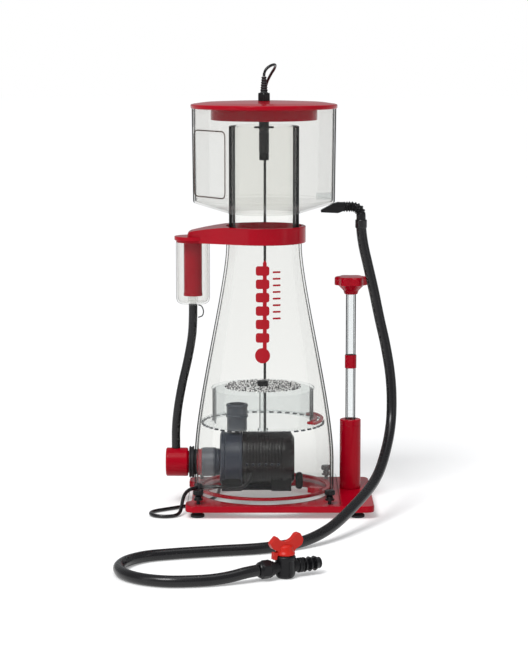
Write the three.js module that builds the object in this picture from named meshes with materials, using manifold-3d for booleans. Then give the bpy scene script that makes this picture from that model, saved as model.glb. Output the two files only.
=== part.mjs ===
// An in-sump protein skimmer for an aquarium, in millimetres, +Z up.
// The body stands on a clear plate over a red base frame. A needle-wheel pump inside the body drives
// water and air up through a bubble plate, foam climbs the neck into the collection cup, and clean
// water leaves through the riser beside the body. Places are measured from the body's axis, and one
// outer group shifts everything so that the origin is the middle of the object's footprint.
import * as THREE from 'three';
import { mergeVertices } from 'three/addons/utils/BufferGeometryUtils.js';
import Module from 'manifold-3d';

const wasm = await Module();
wasm.setup();

// ---- Driving dimensions --------------------------------------------------------------------

const GAP = 0.3;                 // clearance between pieces that touch
const ROUND = 24;                // facets round a large shell
const SMALL = 16;                // facets round a small part
const AXIS_SHIFT = -6.5;         // body axis, measured from the middle of the footprint

const FOOT_H = 8;
const FOOT_R = 9.3;
const BASE = { left: -104, right: 146, depth: 198, thick: 8.7, corner: 12, window: 86 };
const PLATE = { side: 202, thick: 5, corner: 10 };
const BASE_Z = FOOT_H + GAP;
const PLATE_Z = BASE_Z + BASE.thick + GAP;
const FLOOR_Z = PLATE_Z + PLATE.thick + GAP;      // the level that the body stands on
const SCREW = { x: 87, y: 84, shank: 2.4, head: 6.9, tall: 13.5 };

const BODY = { r: 94.5, wall: 3, straight: 60, neckR: 50.6, coneTop: 350, top: 378 };
const COLLAR = { r: 56, low: 357.4, top: 379.6, armEnd: -102.5, armRoot: -24, armTip: 14, armSlope: 0.465 };
const NECK = { r: 46.9, wall: 4.5, low: 362, top: 513 };
const CUP = { r: 96.2, wall: 2.6, top: 535.4, low: 411, neckLow: 396 };
const LID = { r: 97.7, low: 535.8, edge: 541.5, crown: 545.5, plugR: 71, plugLow: 520.5 };
const SENSOR = { r: 6.7, low: 476.5, tipLow: 467, nutTop: 556.3, reliefTop: 577.8 };

const PIPE_Z = 57.7;             // height of the inlet pipe's axis
const PUMP_Z = 62.5;             // height of the pump's axis
const VENTURI = { r: 19.4, left: -133, right: -103, spigotR: 15, bore: 11 };
const PUMP = { r: 37, left: -59.5, split: -29, right: 41, well: 12 };
const PUMP_RISER = { x: -36.6, r: 13.6, capR: 15, low: 101.5, capLow: 119.4, top: 137.7 };

const CHAMBER = { x: -1.5, r: 68.3, flangeR: 84, wall: 2.4, low: 113, top: 158 };
const DISC = { r: 69.6, thick: 3 };
const STEM_R = 4.6;

const OUTLET = { x: 118, y: 25, riserR: 14.4, riserTop: 112.5, tubeR: 6.8, tubeBore: 4.6, tubeTop: 284 };
const KNOB = { r: 22.4, tall: 24, lobes: 6 };

const SILENCER = { x: -95.4, r: 22.6, wall: 2, low: 273.9, coreR: 12.7 };
const AIR_HOSE_R = 5.9;
const DRAIN_HOSE_R = 6.9;
const VALVE = { x: 25, y: -410, z: 13, turn: THREE.MathUtils.degToRad(28), r: 12, top: 27.5 };
const PUMP_CABLE_R = 2.4;
const SENSOR_CABLE_R = 1.9;
const PUMP_COIL = { x: -31, y: 165, r: 28, thick: 7.4, high: 14.6 };
const SENSOR_COIL = { x: 27, y: 136, r: 22, thick: 6, high: 11.8 };

// ---- Colours -------------------------------------------------------------------------------

const RED = { color: 0xb3061c, roughness: 0.25, metalness: 0 };
const VALVE_RED = { color: 0xd81a12, roughness: 0.35, metalness: 0 };
const CLEAR = { color: 0xeef2f2, roughness: 0.05, metalness: 0, transparent: true, opacity: 0.3 };
const BLACK = { color: 0x17171a, roughness: 0.4, metalness: 0 };
const RUBBER = { color: 0x1c1b1e, roughness: 0.6, metalness: 0 };
const GREY = { color: 0x4a4e58, roughness: 0.4, metalness: 0 };
const SMOKE = { color: 0x6d737d, roughness: 0.3, metalness: 0, transparent: true, opacity: 0.7 };
const STEEL = { color: 0xb9bcc0, roughness: 0.3, metalness: 1 };

// ---- Helpers -------------------------------------------------------------------------------

const v3 = (x, y, z) => new THREE.Vector3(x, y, z);

function signedVolume(positions, index) {
  const [a, b, c] = [v3(), v3(), v3()];
  let sum = 0;
  for (let i = 0; i < index.length; i += 3) {
    a.fromArray(positions, 3 * index[i]);
    b.fromArray(positions, 3 * index[i + 1]);
    c.fromArray(positions, 3 * index[i + 2]);
    sum += a.dot(b.cross(c));
  }
  return sum;
}

// Merge shared vertices, drop collapsed triangles and turn the faces outwards.
function closed(geometry) {
  const source = geometry.index ? geometry.clone() : geometry;
  source.deleteAttribute('normal');
  source.deleteAttribute('uv');
  const merged = mergeVertices(source, 1e-3);
  const kept = [];
  for (let i = 0; i < merged.index.count; i += 3) {
    const [a, b, c] = [0, 1, 2].map((k) => merged.index.getX(i + k));
    if (a !== b && b !== c && a !== c) kept.push(a, b, c);
  }
  if (signedVolume(merged.attributes.position.array, kept) < 0) {
    for (let i = 0; i < kept.length; i += 3) {
      [kept[i], kept[i + 1]] = [kept[i + 1], kept[i]];
    }
  }
  merged.setIndex(kept);
  return merged;
}

function toSolid(geometry) {
  const g = closed(geometry);
  return new wasm.Manifold(new wasm.Mesh({
    numProp: 3,
    vertProperties: Float32Array.from(g.attributes.position.array),
    triVerts: Uint32Array.from(g.index.array),
  }));
}

function fromSolid(solid) {
  const mesh = solid.getMesh();
  const geometry = new THREE.BufferGeometry();
  geometry.setAttribute('position', new THREE.BufferAttribute(mesh.vertProperties, 3));
  geometry.setIndex(new THREE.BufferAttribute(mesh.triVerts, 1));
  return geometry;
}

// base with every tool in "cuts" taken away and every one in "joins" added
function carve(base, { joins = [], cuts = [] }) {
  let solid = toSolid(base);
  for (const piece of joins) solid = solid.add(toSolid(piece));
  for (const piece of cuts) solid = solid.subtract(toSolid(piece));
  return fromSolid(solid);
}

// A solid of revolution about Z from [radius, height] pairs.
function turned(profile, facets = SMALL) {
  const points = profile.map(([r, z]) => new THREE.Vector2(r, z));
  return closed(new THREE.LatheGeometry(points, facets).rotateX(Math.PI / 2));
}

// The same about the X axis: pairs are [radius, x].
const turnedX = (profile, facets = SMALL) => turned(profile, facets).rotateY(Math.PI / 2);

// A tube about Z; with no bore it is a plain rod.
function tube(r, bore, low, top, facets = SMALL) {
  if (bore === 0) return turned([[0, low], [r, low], [r, top], [0, top]], facets);
  return turned([[bore, low], [r, low], [r, top], [bore, top], [bore, low]], facets);
}

const tubeX = (r, bore, left, right, facets = SMALL) => tube(r, bore, left, right, facets).rotateY(Math.PI / 2);

function plateOf(shape, low, thick, curveSegments = 6) {
  const settings = { depth: thick, bevelEnabled: false, curveSegments };
  return closed(new THREE.ExtrudeGeometry(shape, settings).translate(0, 0, low));
}

function roundedRectangle(left, right, front, back, corner) {
  const shape = new THREE.Shape();
  shape.moveTo(left + corner, front);
  shape.lineTo(right - corner, front);
  shape.absarc(right - corner, front + corner, corner, -Math.PI / 2, 0, false);
  shape.absarc(right - corner, back - corner, corner, 0, Math.PI / 2, false);
  shape.absarc(left + corner, back - corner, corner, Math.PI / 2, Math.PI, false);
  shape.absarc(left + corner, front + corner, corner, Math.PI, 1.5 * Math.PI, false);
  return shape;
}

function roundHole(x, y, r) {
  const hole = new THREE.Path();
  hole.absarc(x, y, r, 0, 2 * Math.PI, true);
  return hole;
}

// A plain round cord through hand-chosen points.
function cord(points, r, sides, steps) {
  const section = new THREE.Shape();
  for (let i = 0; i < sides; i += 1) {
    const a = 2 * Math.PI * (i + 0.5) / sides;
    if (i === 0) section.moveTo(r * Math.cos(a), r * Math.sin(a));
    else section.lineTo(r * Math.cos(a), r * Math.sin(a));
  }
  section.closePath();
  const path = new THREE.CatmullRomCurve3(points.map((p) => v3(...p)), false, 'centripetal');
  return closed(new THREE.ExtrudeGeometry(section, { steps, bevelEnabled: false, extrudePath: path }));
}

const box = (x, y, z, cx, cy, cz) => new THREE.BoxGeometry(x, y, z).translate(cx, cy, cz);

const skimmer = new THREE.Group();
const assembly = new THREE.Group();
assembly.position.x = AXIS_SHIFT;
skimmer.add(assembly);

function part(name, geometry, finish, parent = assembly) {
  const mesh = new THREE.Mesh(geometry, new THREE.MeshStandardMaterial(finish));
  mesh.name = name;
  parent.add(mesh);
  return mesh;
}

function groupAt(x, y, z = 0, parent = assembly) {
  const group = new THREE.Group();
  group.position.set(x, y, z);
  parent.add(group);
  return group;
}

// ---- Base: red frame, clear plate, feet and thumbscrews ------------------------------------

const screwPlaces = [];
for (const [side, x] of [['left', -SCREW.x], ['right', SCREW.x]]) {
  for (const [end, y] of [['front', -SCREW.y], ['rear', SCREW.y]]) {
    screwPlaces.push({ name: `${end}_${side}`, x, y });
  }
}

function baseFrame() {
  const half = BASE.depth / 2;
  const outline = roundedRectangle(BASE.left, BASE.right, -half, half, BASE.corner);
  for (const { x, y } of screwPlaces) outline.holes.push(roundHole(x, y, SCREW.shank + GAP));
  const sideNotch = box(14, 120, 3 * BASE.thick, BASE.left, 0, BASE_Z);
  const window = tube(BASE.window, 0, 0, 40, ROUND);
  return carve(plateOf(outline, BASE_Z, BASE.thick, 4), { cuts: [sideNotch, window] });
}
part('base_frame', baseFrame(), RED);

function basePlate() {
  const half = PLATE.side / 2;
  const outline = roundedRectangle(-half, half, -half, half, PLATE.corner);
  for (const { x, y } of screwPlaces) outline.holes.push(roundHole(x, y, SCREW.shank + GAP));
  return plateOf(outline, PLATE_Z, PLATE.thick, 4);
}
part('base_plate', basePlate(), CLEAR);

const FOOT_PROFILE = [[0, 0], [FOOT_R, 0], [FOOT_R, 3.4], [6, 5.2], [6, FOOT_H], [0, FOOT_H]];
const footPlaces = [
  ['front_left', -88, -84], ['rear_left', -88, 84], ['front_right', 124, -84], ['rear_right', 124, 84],
];
for (const [corner, x, y] of footPlaces) {
  part(`foot_${corner}`, turned(FOOT_PROFILE), RUBBER, groupAt(x, y));
}

// The waisted head sits on the plate, and the shank goes down through the plate into the frame.
function thumbscrew() {
  const top = FLOOR_Z + SCREW.tall;
  return turned([
    [0, BASE_Z + 1], [SCREW.shank, BASE_Z + 1], [SCREW.shank, FLOOR_Z], [5.6, FLOOR_Z],
    [5.6, FLOOR_Z + 4], [3.6, FLOOR_Z + 6], [SCREW.head, FLOOR_Z + 7.5], [SCREW.head, top], [0, top],
  ], 8);
}
for (const { name, x, y } of screwPlaces) {
  part(`thumbscrew_${name}`, thumbscrew(), BLACK, groupAt(x, y));
}

// ---- Body ----------------------------------------------------------------------------------

// The bottle outline: straight foot, one smooth curve up to the neck, short straight neck.
function bodyOutline() {
  const curve = new THREE.CubicBezierCurve(
    new THREE.Vector2(BODY.r, BODY.straight),
    new THREE.Vector2(BODY.r, 134),
    new THREE.Vector2(53.2, 290),
    new THREE.Vector2(BODY.neckR, BODY.coneTop),
  );
  const bend = curve.getPoints(6).map((p) => [p.x, p.y]);
  return [[BODY.r, FLOOR_Z], ...bend, [BODY.neckR, BODY.top]];
}

const GROMMET = { x: -84.5, y: -37.5, z: 29.8, r: 5.4, flange: 6.9 };
const grommetAngle = Math.atan2(GROMMET.y, GROMMET.x);
const wallDirection = (geometry) => geometry.rotateZ(grommetAngle).translate(0, 0, GROMMET.z);

function bodyShell() {
  const outer = bodyOutline();
  const inner = outer.map(([r, z]) => [r - BODY.wall, z]).reverse();
  const shell = turned([...outer, ...inner, outer[0]], ROUND);
  const pipeHole = tubeX(17.8, 0, -110, -70).translate(0, 0, PIPE_Z);
  const cableHole = wallDirection(tubeX(GROMMET.r + GAP, 0, 80, 110, 12));
  return carve(shell, { cuts: [pipeHole, cableHole] });
}
part('body_shell', bodyShell(), CLEAR);

// The foot ring inside the bottle, with a square lug that reaches inwards at its front right.
function bodyRing() {
  const out = BODY.r - BODY.wall - GAP;
  const lug = box(18, 9, 7.4, 77.6, 0, FLOOR_Z + 3.7).rotateZ(THREE.MathUtils.degToRad(-28));
  return carve(tube(out, out - 6.5, FLOOR_Z, FLOOR_Z + 3.6, ROUND), { joins: [lug] });
}
part('body_ring', bodyRing(), RED);

// ---- Inlet: venturi, wall gasket and pump inlet pipe -----------------------------------------

const inlet = groupAt(0, 0, PIPE_Z);
part('venturi_body', turnedX([
  [VENTURI.bore, VENTURI.left], [VENTURI.r - 1, VENTURI.left], [VENTURI.r, VENTURI.left + 1],
  [VENTURI.r, VENTURI.right], [VENTURI.spigotR, VENTURI.right], [VENTURI.spigotR, -71],
  [VENTURI.bore, -71], [VENTURI.bore, VENTURI.left],
]), RED, inlet);

part('wall_gasket', turnedX([
  [VENTURI.spigotR + GAP, -101.4], [21.6, -101.4], [21.6, -94.9], [17, -94.9], [17, -87.4],
  [18.8, -87.4], [18.8, -85.2], [VENTURI.spigotR + GAP, -85.2], [VENTURI.spigotR + GAP, -101.4],
]), RUBBER, inlet);

// ---- Pump ----------------------------------------------------------------------------------

function pumpInlet() {
  return turnedX([
    [VENTURI.spigotR + GAP, -84], [19.6, -84], [19.6, PUMP.left - GAP], [VENTURI.spigotR + GAP, PUMP.left - GAP],
    [VENTURI.spigotR + GAP, -84],
  ]);
}
part('pump_inlet', pumpInlet(), GREY, inlet);

// A flat drum open towards the motor, with the inlet hole in its front and the outlet in its top.
function pumpVolute() {
  const drum = turnedX([
    [14, PUMP.left], [PUMP.r - 2, PUMP.left], [PUMP.r, PUMP.left + 2], [PUMP.r, PUMP.split - GAP],
    [PUMP.r - 4, PUMP.split - GAP], [PUMP.r - 4, PUMP.left + 4], [14, PUMP.left + 4], [14, PUMP.left],
  ]).translate(0, 0, PUMP_Z);
  const outlet = tube(4, 0, PUMP_Z, PUMP_Z + 50, 12).translate(PUMP_RISER.x - 4, 0, 0);
  return carve(drum, { cuts: [outlet] });
}
part('pump_volute', pumpVolute(), GREY);

// The sealed motor block, with its blind rotor well open to the volute.
const motorProfile = [
  [0, PUMP.right - 14], [PUMP.well, PUMP.right - 14], [PUMP.well, PUMP.split], [PUMP.r, PUMP.split],
  [PUMP.r, PUMP.right - 12], [PUMP.r - 3, PUMP.right - 3], [PUMP.r - 8, PUMP.right], [0, PUMP.right],
];
part('pump_motor', turnedX(motorProfile).translate(0, 0, PUMP_Z), BLACK);

// A saddle under the drum of the pump, standing on the plate, with an arch cut in each side.
function pumpCradle() {
  const block = box(94, 54, 21, -10, 0, FLOOR_Z + 10.5);
  const seat = tubeX(PUMP.r + GAP, 0, -80, 80).translate(0, 0, PUMP_Z);
  const arches = [-1, 1].map((side) => box(40, 24, 20, -10, side * 33, FLOOR_Z + 2));
  return carve(block, { cuts: [seat, ...arches] });
}
part('pump_cradle', pumpCradle(), SMOKE);
part('pump_bumper', turnedX([[0, 42.6], [9.5, 42.6], [11.5, 46], [11.5, 50], [8, 52.5], [0, 52.5]])
  .translate(0, -14, FLOOR_Z + 12), SMOKE);
part('pump_riser', tube(PUMP_RISER.r, PUMP_RISER.r - 2.6, PUMP_RISER.low, PUMP_RISER.capLow - GAP)
  .translate(PUMP_RISER.x, 0, 0), GREY);
part('riser_cap', turned([
  [PUMP_RISER.r - 2.6, PUMP_RISER.capLow], [PUMP_RISER.capR, PUMP_RISER.capLow],
  [PUMP_RISER.capR, PUMP_RISER.top - 1.5], [PUMP_RISER.capR - 1.5, PUMP_RISER.top],
  [PUMP_RISER.r - 2.6, PUMP_RISER.top], [PUMP_RISER.r - 2.6, PUMP_RISER.capLow],
]).translate(PUMP_RISER.x, 0, 0), GREY);

// The turning parts share the pump's axis: steel shaft, magnet in the well and needle wheel.
const rotor = groupAt(0, 0, PUMP_Z);
part('rotor_shaft', tubeX(1.5, 0, PUMP.left + 6, PUMP.right - 15, 10), STEEL, rotor);
part('rotor_magnet', tubeX(PUMP.well - 1, 1.5 + GAP, PUMP.split + 2, PUMP.right - 16), GREY, rotor);

function impeller() {
  const hub = tubeX(26, 1.5 + GAP, -44, -41);
  const pins = [];
  for (const [count, radius] of [[4, 11], [6, 21]]) {
    for (let i = 0; i < count; i += 1) {
      const a = 2 * Math.PI * i / count;
      pins.push(tubeX(1.6, 0, -52, -43, 4).translate(0, radius * Math.cos(a), radius * Math.sin(a)));
    }
  }
  return carve(hub, { joins: pins });
}
part('impeller', impeller(), RED, rotor);

// ---- Bubble plate --------------------------------------------------------------------------

const chamber = groupAt(CHAMBER.x, 0);
const skirtIn = CHAMBER.r - CHAMBER.wall;
part('bubble_chamber', turned([
  [skirtIn, CHAMBER.low], [CHAMBER.flangeR, CHAMBER.low], [CHAMBER.flangeR, CHAMBER.low + 2.6],
  [CHAMBER.r, CHAMBER.low + 2.6], [CHAMBER.r, CHAMBER.top], [skirtIn, CHAMBER.top], [skirtIn, CHAMBER.low],
], ROUND), CLEAR, chamber);

const DISC_Z = CHAMBER.top + GAP;
part('bubble_disc', tube(DISC.r, STEM_R + GAP, DISC_Z, DISC_Z + DISC.thick, ROUND), CLEAR, chamber);
part('bubble_stem', turned([
  [0, 101], [7, 101], [7, 104], [STEM_R, 104], [STEM_R, DISC_Z + DISC.thick + 1.5],
  [0, DISC_Z + DISC.thick + 1.5],
]), CLEAR, chamber);
part('bubble_knob', turned([
  [0, 164], [3, 164], [STEM_R + 0.6, 163.2], [STEM_R + 0.6, 161.6], [7.4, 161.6],
  [7.4, 168], [6.4, 169.4], [0, 169.4],
]), BLACK, chamber);

// A flat red latch that lies on the flange and bends round the skirt.
function plateClip() {
  const [inner, outer, reach] = [CHAMBER.r + 1, CHAMBER.flangeR - 2, 0.56];
  const shape = new THREE.Shape();
  shape.absarc(0, 0, outer, -reach, reach, false);
  shape.absarc(0, 0, inner, reach, -reach, true);
  shape.closePath();
  const slot = new THREE.Shape();
  slot.absarc(0, 0, outer - 4, -reach * 0.72, reach * 0.72, false);
  slot.absarc(0, 0, inner + 4.5, reach * 0.72, -reach * 0.72, true);
  slot.closePath();
  const low = CHAMBER.low + 2.6 + GAP;
  return carve(plateOf(shape, low, 3.4, 5), { cuts: [plateOf(slot, low - 1, 6, 4)] });
}
part('plate_clip', plateClip(), RED, chamber);

// ---- Neck collar with its side arm, and the air silencer --------------------------------------

// Half the arm's width at x: its sides leave the collar as tangents and close in towards the silencer.
const armHalf = (x) => COLLAR.armTip + (x - COLLAR.armEnd) * COLLAR.armSlope;

function neckCollar() {
  const ring = tube(COLLAR.r, BODY.neckR + GAP, COLLAR.low, COLLAR.top, ROUND);
  const side = new THREE.Shape();
  side.moveTo(COLLAR.armEnd, COLLAR.low);
  side.lineTo(COLLAR.armEnd, COLLAR.low + 11);
  side.quadraticCurveTo(COLLAR.armEnd, COLLAR.low + 14, COLLAR.armEnd + 6, COLLAR.low + 15.5);
  side.quadraticCurveTo(-74, COLLAR.top - 2, -52, COLLAR.top);
  side.lineTo(COLLAR.armRoot, COLLAR.top);
  side.lineTo(COLLAR.armRoot, COLLAR.low);
  side.closePath();
  const arm = new THREE.ExtrudeGeometry(side, { depth: 2, bevelEnabled: false, curveSegments: 4 });
  arm.rotateX(Math.PI / 2).translate(0, 1, 0);
  const place = arm.attributes.position;
  for (let i = 0; i < place.count; i += 1) place.setY(i, place.getY(i) * armHalf(place.getX(i)));
  const cap = turned([
    [0, COLLAR.low], [SILENCER.r, COLLAR.low], [SILENCER.r, 360.4], [24.8, 360.4], [24.8, 365.5], [0, 365.5],
  ]).translate(SILENCER.x, 0, 0);
  const bore = tube(BODY.neckR + GAP, 0, 340, 400, ROUND);
  return carve(ring, { joins: [arm, cap], cuts: [bore] });
}
part('neck_collar', neckCollar(), RED);

const silencer = groupAt(SILENCER.x, 0);
const silencerTop = COLLAR.low - GAP;
const jarIn = SILENCER.r - SILENCER.wall;
// A jar with its hose nipple moulded up through the middle of its floor.
part('silencer_body', turned([
  [4, SILENCER.low], [SILENCER.r - 6, SILENCER.low], [SILENCER.r - 1.4, SILENCER.low + 3],
  [SILENCER.r, SILENCER.low + 8], [SILENCER.r, silencerTop], [jarIn, silencerTop],
  [jarIn, SILENCER.low + 8], [jarIn - 3, SILENCER.low + 3], [6.6, SILENCER.low + 2.4], [6.6, 284.9],
  [4, 284.9], [4, SILENCER.low],
]), CLEAR, silencer);
part('silencer_core', tube(SILENCER.coreR, SILENCER.coreR - 2.4, 285.2, silencerTop), RED, silencer);
part('hose_tie', cord([[7, 0, 272.5], [11.5, 0, 270.5], [14, 0, 264], [12, 0, 257.5], [6.8, 0, 255.5]], 0.8, 6, 8),
  RUBBER, silencer);

const airHoseRoute = [
  [SILENCER.x, 0, SILENCER.low - GAP], [-95.6, 0, 256], [-97, 0, 232], [-102.5, 0, 200], [-110.5, 0, 165],
  [-116.4, 0, 132], [-119.2, 0, 104], [-119.4, 0, PIPE_Z + VENTURI.r + GAP],
];
part('air_hose', cord(airHoseRoute, AIR_HOSE_R, 8, 14), RUBBER);

// ---- Water outlet: riser, sliding tube and knob ----------------------------------------------

const outlet = groupAt(OUTLET.x, OUTLET.y);
part('outlet_riser', turned([
  [11.4, PLATE_Z], [OUTLET.riserR, PLATE_Z], [OUTLET.riserR, OUTLET.riserTop - 1],
  [OUTLET.riserR - 1, OUTLET.riserTop], [OUTLET.tubeR + GAP, OUTLET.riserTop],
  [OUTLET.tubeR + GAP, OUTLET.riserTop - 6], [11.4, OUTLET.riserTop - 6], [11.4, PLATE_Z],
]), RED, outlet);
part('outlet_tube', tube(OUTLET.tubeR, OUTLET.tubeBore, 60, OUTLET.tubeTop), CLEAR, outlet);
part('outlet_band', tube(OUTLET.tubeR + GAP + 0.9, OUTLET.tubeR + GAP, 183, 201), RED, outlet);

// A lobed crown over a short tapered skirt.
function outletKnob() {
  const crown = new THREE.Shape();
  const turns = 36;
  for (let i = 0; i < turns; i += 1) {
    const a = 2 * Math.PI * i / turns;
    const r = KNOB.r - 1.6 + 1.6 * Math.cos(KNOB.lobes * a);
    if (i === 0) crown.moveTo(r, 0);
    else crown.lineTo(r * Math.cos(a), r * Math.sin(a));
  }
  crown.closePath();
  const low = OUTLET.tubeTop + GAP;
  const skirt = turned([[0, low], [8.6, low], [10, low + 5], [17.5, low + 12.5], [0, low + 12.5]]);
  return carve(plateOf(crown, low + 12, KNOB.tall - 12), { joins: [skirt] });
}
part('outlet_knob', outletKnob(), RED, outlet);

// ---- Collection cup ------------------------------------------------------------------------

// A drum with a sloping floor and a flat grip panel cut across its front left.
function cupShell() {
  const half = [[0, CUP.neckLow], [NECK.r, CUP.neckLow], [CUP.r - 1.4, CUP.low], [CUP.r, CUP.top], [0, CUP.top]];
  const hollow = [
    [0, CUP.neckLow + CUP.wall], [NECK.r, CUP.neckLow + CUP.wall], [CUP.r - 1.4 - CUP.wall, CUP.low + CUP.wall],
    [CUP.r - CUP.wall, CUP.top + 1], [0, CUP.top + 1],
  ];
  const panelTurn = THREE.MathUtils.degToRad(215.3);
  const slab = (offset, top) => box(60, 200, top - 380, 30 + offset, 0, (top + 380) / 2).rotateZ(panelTurn);
  const outside = carve(turned(half, ROUND), { cuts: [slab(87.6, 512)] });
  const inside = carve(turned(hollow, ROUND), { cuts: [slab(87.6 - CUP.wall, 512 + CUP.wall)] });
  return carve(outside, { cuts: [inside, tube(NECK.r + GAP, 0, 380, 420, ROUND)] });
}
part('cup_shell', cupShell(), CLEAR);
part('neck_tube', tube(NECK.r, NECK.r - NECK.wall, NECK.low, NECK.top, ROUND), CLEAR);

part('drain_nipple', tubeX(4.7, 3.3, 70, 91.4).translate(0, 0, 419), CLEAR);

// The barbed elbow under the cup's corner: a wedge foot, a level run and a drop for the hose.
const ELBOW = { z: 404.8, x: 130, low: 386, r: 6.2 };
function drainElbow() {
  const run = cord([
    [97.4, 0, ELBOW.z], [110, 0, ELBOW.z], [120, 0, ELBOW.z - 0.4], [126.6, 0, ELBOW.z - 3.4],
    [ELBOW.x - 0.6, 0, ELBOW.z - 9], [ELBOW.x, 0, ELBOW.low],
  ], ELBOW.r, 10, 12);
  const side = new THREE.Shape();
  side.moveTo(76, 397.6);
  side.lineTo(99, 396.6);
  side.lineTo(108, 400);
  side.lineTo(108, 410);
  side.lineTo(99, 411);
  side.lineTo(92, 409);
  side.lineTo(76, 400.4);
  side.closePath();
  const deep = { depth: 12, bevelEnabled: false };
  const wedge = new THREE.ExtrudeGeometry(side, deep).rotateX(Math.PI / 2).translate(0, 6, 0);
  return carve(run, { joins: [wedge] });
}
part('drain_elbow', drainElbow(), BLACK);

// ---- Lid and level sensor ------------------------------------------------------------------

const sensorHole = SENSOR.r + GAP;
part('lid', turned([
  [sensorHole, LID.low + 1], [LID.plugR - 3, LID.low + 1], [LID.plugR - 3, LID.plugLow],
  [LID.plugR, LID.plugLow], [LID.plugR, LID.low], [LID.r - 0.6, LID.low], [LID.r, LID.low + 1],
  [LID.r, LID.edge - 1.2], [LID.r - 1.6, LID.edge], [50, LID.crown - 0.6], [sensorHole, LID.crown],
  [sensorHole, LID.low + 1],
], ROUND), RED);
part('sensor_nut', tube(9, 0, LID.crown + GAP, SENSOR.nutTop, 6), BLACK);
part('sensor_relief', turned([
  [0, SENSOR.nutTop + GAP], [5, SENSOR.nutTop + GAP], [4.2, 562], [3.4, 572], [3.1, SENSOR.reliefTop],
  [0, SENSOR.reliefTop],
], 12), RUBBER);
part('sensor_rod', tube(SENSOR.r, 0, SENSOR.low, LID.crown), BLACK);
part('sensor_tip', tube(SENSOR.r - 0.2, 4, SENSOR.tipLow, SENSOR.low - GAP, 12), SMOKE);
part('sensor_disc', tube(13.3, SENSOR.r + GAP, 509.6, 511.8, SMALL), SMOKE);

// ---- Cords ---------------------------------------------------------------------------------

part('cable_grommet', wallDirection(turnedX([
  [PUMP_CABLE_R + GAP, 91.6], [GROMMET.r, 91.6], [GROMMET.r, 95.4], [GROMMET.flange, 95.4],
  [GROMMET.flange, 97.6], [PUMP_CABLE_R + GAP + 1, 98.4], [PUMP_CABLE_R + GAP, 98.4],
  [PUMP_CABLE_R + GAP, 91.6],
], 12)), RUBBER);

// Out of the motor, through the grommet, over the plate's edge, under the base and back to its coil.
const pumpCableRoute = [
  [-18, -38.6, 50.6], [-19.4, -41.6, 43], [-24, -43.8, 36.2], [-31, -44.2, 31.6], [-39, -42.2, 29.8],
  [-48, -38, 29.8], [-57, -34.2, 29.8], [-66, -32.3, 29.8], [-75, -33.5, 29.8], [-84.5, -37.5, 29.8],
  [-92.4, -41, 29.8], [-100, -45.2, 28.2], [-105.8, -52.4, 23.6], [-108.6, -61.4, 16.6], [-109.8, -70.2, 9.4],
  [-112.2, -79.2, 4.4], [-117.1, -87.9, 2.8], [-125.9, -92.9, 2.7], [-136.1, -92.9, 2.7], [-144.9, -87.9, 2.7],
  [-149.9, -79.1, 2.7], [-149.9, -68.9, 2.7], [-144.9, -60, 2.7], [-132, -49.4, 2.7], [-115, -36.6, 2.7],
  [-97, -21.6, 2.7], [-81, -3, 2.7], [-69.6, 20, 2.7], [-64, 50, 2.7], [-62.8, 84, 2.7], [-63.6, 120, 2.7],
  [-63.8, 144, 2.7],
];
part('pump_cable', cord(pumpCableRoute, PUMP_CABLE_R, 8, 44), RUBBER);

function coilRing({ r, thick, high }) {
  const [inner, outer, low] = [r - thick, r + thick, 0.2];
  return turned([
    [inner, low], [outer - 2, low], [outer, low + 2], [outer, high - 2], [outer - 2, high],
    [inner, high], [inner, low],
  ]);
}
part('pump_coil', coilRing(PUMP_COIL), RUBBER, groupAt(PUMP_COIL.x, PUMP_COIL.y));
part('pump_plug', carve(box(22, 15, 13, 17, 197.8, 7.2), {
  joins: [tubeX(4.2, 0, 1, 8, 12).translate(0, 197.8, 8), tubeX(2, 0, 26, 36, 8).translate(0, 193.6, 7.2),
    tubeX(2, 0, 26, 36, 8).translate(0, 202, 7.2)],
}), BLACK);

// Up out of the strain relief, over the lid's rear edge and straight down behind the body.
const sensorCableRoute = [
  [0, 0, 578.1], [0.6, 0, 583], [3.4, 1, 588], [8, 4, 591.6], [12.5, 10, 593.2], [15, 19, 592.4],
  [14, 30, 588], [9.5, 41, 580.5], [5, 52, 571.5], [2.4, 64, 563], [1.4, 77, 556], [1.2, 90, 550.6],
  [1.2, 98.6, 546.2], [1.2, 103, 539.4], [1.2, 104, 530], [1.2, 104, 500], [1.2, 104, 400],
  [1.2, 104, 300], [1.2, 104, 200], [1.2, 104, 100], [1.2, 104.2, 40], [1.2, 105, 16], [1.2, 107.6, 7.6],
  [1.2, 112.4, 3.2], [1.2, 119.4, 2.2],
];
part('sensor_cable', cord(sensorCableRoute, SENSOR_CABLE_R, 8, 44), RUBBER);
part('sensor_coil', coilRing(SENSOR_COIL), RUBBER, groupAt(SENSOR_COIL.x, SENSOR_COIL.y));
part('sensor_connector', turnedX([
  [0, 40], [2.4, 40], [3.9, 44], [3.9, 54], [3, 54.6], [3, 58], [0, 58],
], 8).translate(0, 165.5, 4.2), BLACK);

// The drain hose hangs from the elbow, sweeps forward to the floor and doubles back to its valve.
const drainHoseRoute = [
  [ELBOW.x, 0, ELBOW.low - GAP], [130.6, 0, 372], [133.5, -1, 352], [139, -2, 328], [147, -4, 294],
  [155, -6, 256], [163.5, -9, 218], [169.5, -13, 182], [171.6, -19, 150], [170, -32, 117], [161, -68, 84],
  [146, -112, 57], [114, -178, 34], [80, -231, 16.5], [46, -264, 8.4], [0, -290, 7.1], [-58, -305.6, 7.1],
  [-112, -320.5, 7.1], [-143, -333.3, 7.1], [-164.3, -357, 7.1], [-172, -388, 7.1], [-164.3, -419, 7.1],
  [-143, -443, 7.1], [-114, -455.2, 7.1], [-84, -454.6, 7.1], [-60, -449.4, 7.4], [-40, -442.6, 9],
  [-21, -434.5, 12], [-7.7, -427.4, 13],
];
part('drain_hose', cord(drainHoseRoute, DRAIN_HOSE_R, 8, 42), RUBBER);

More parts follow.
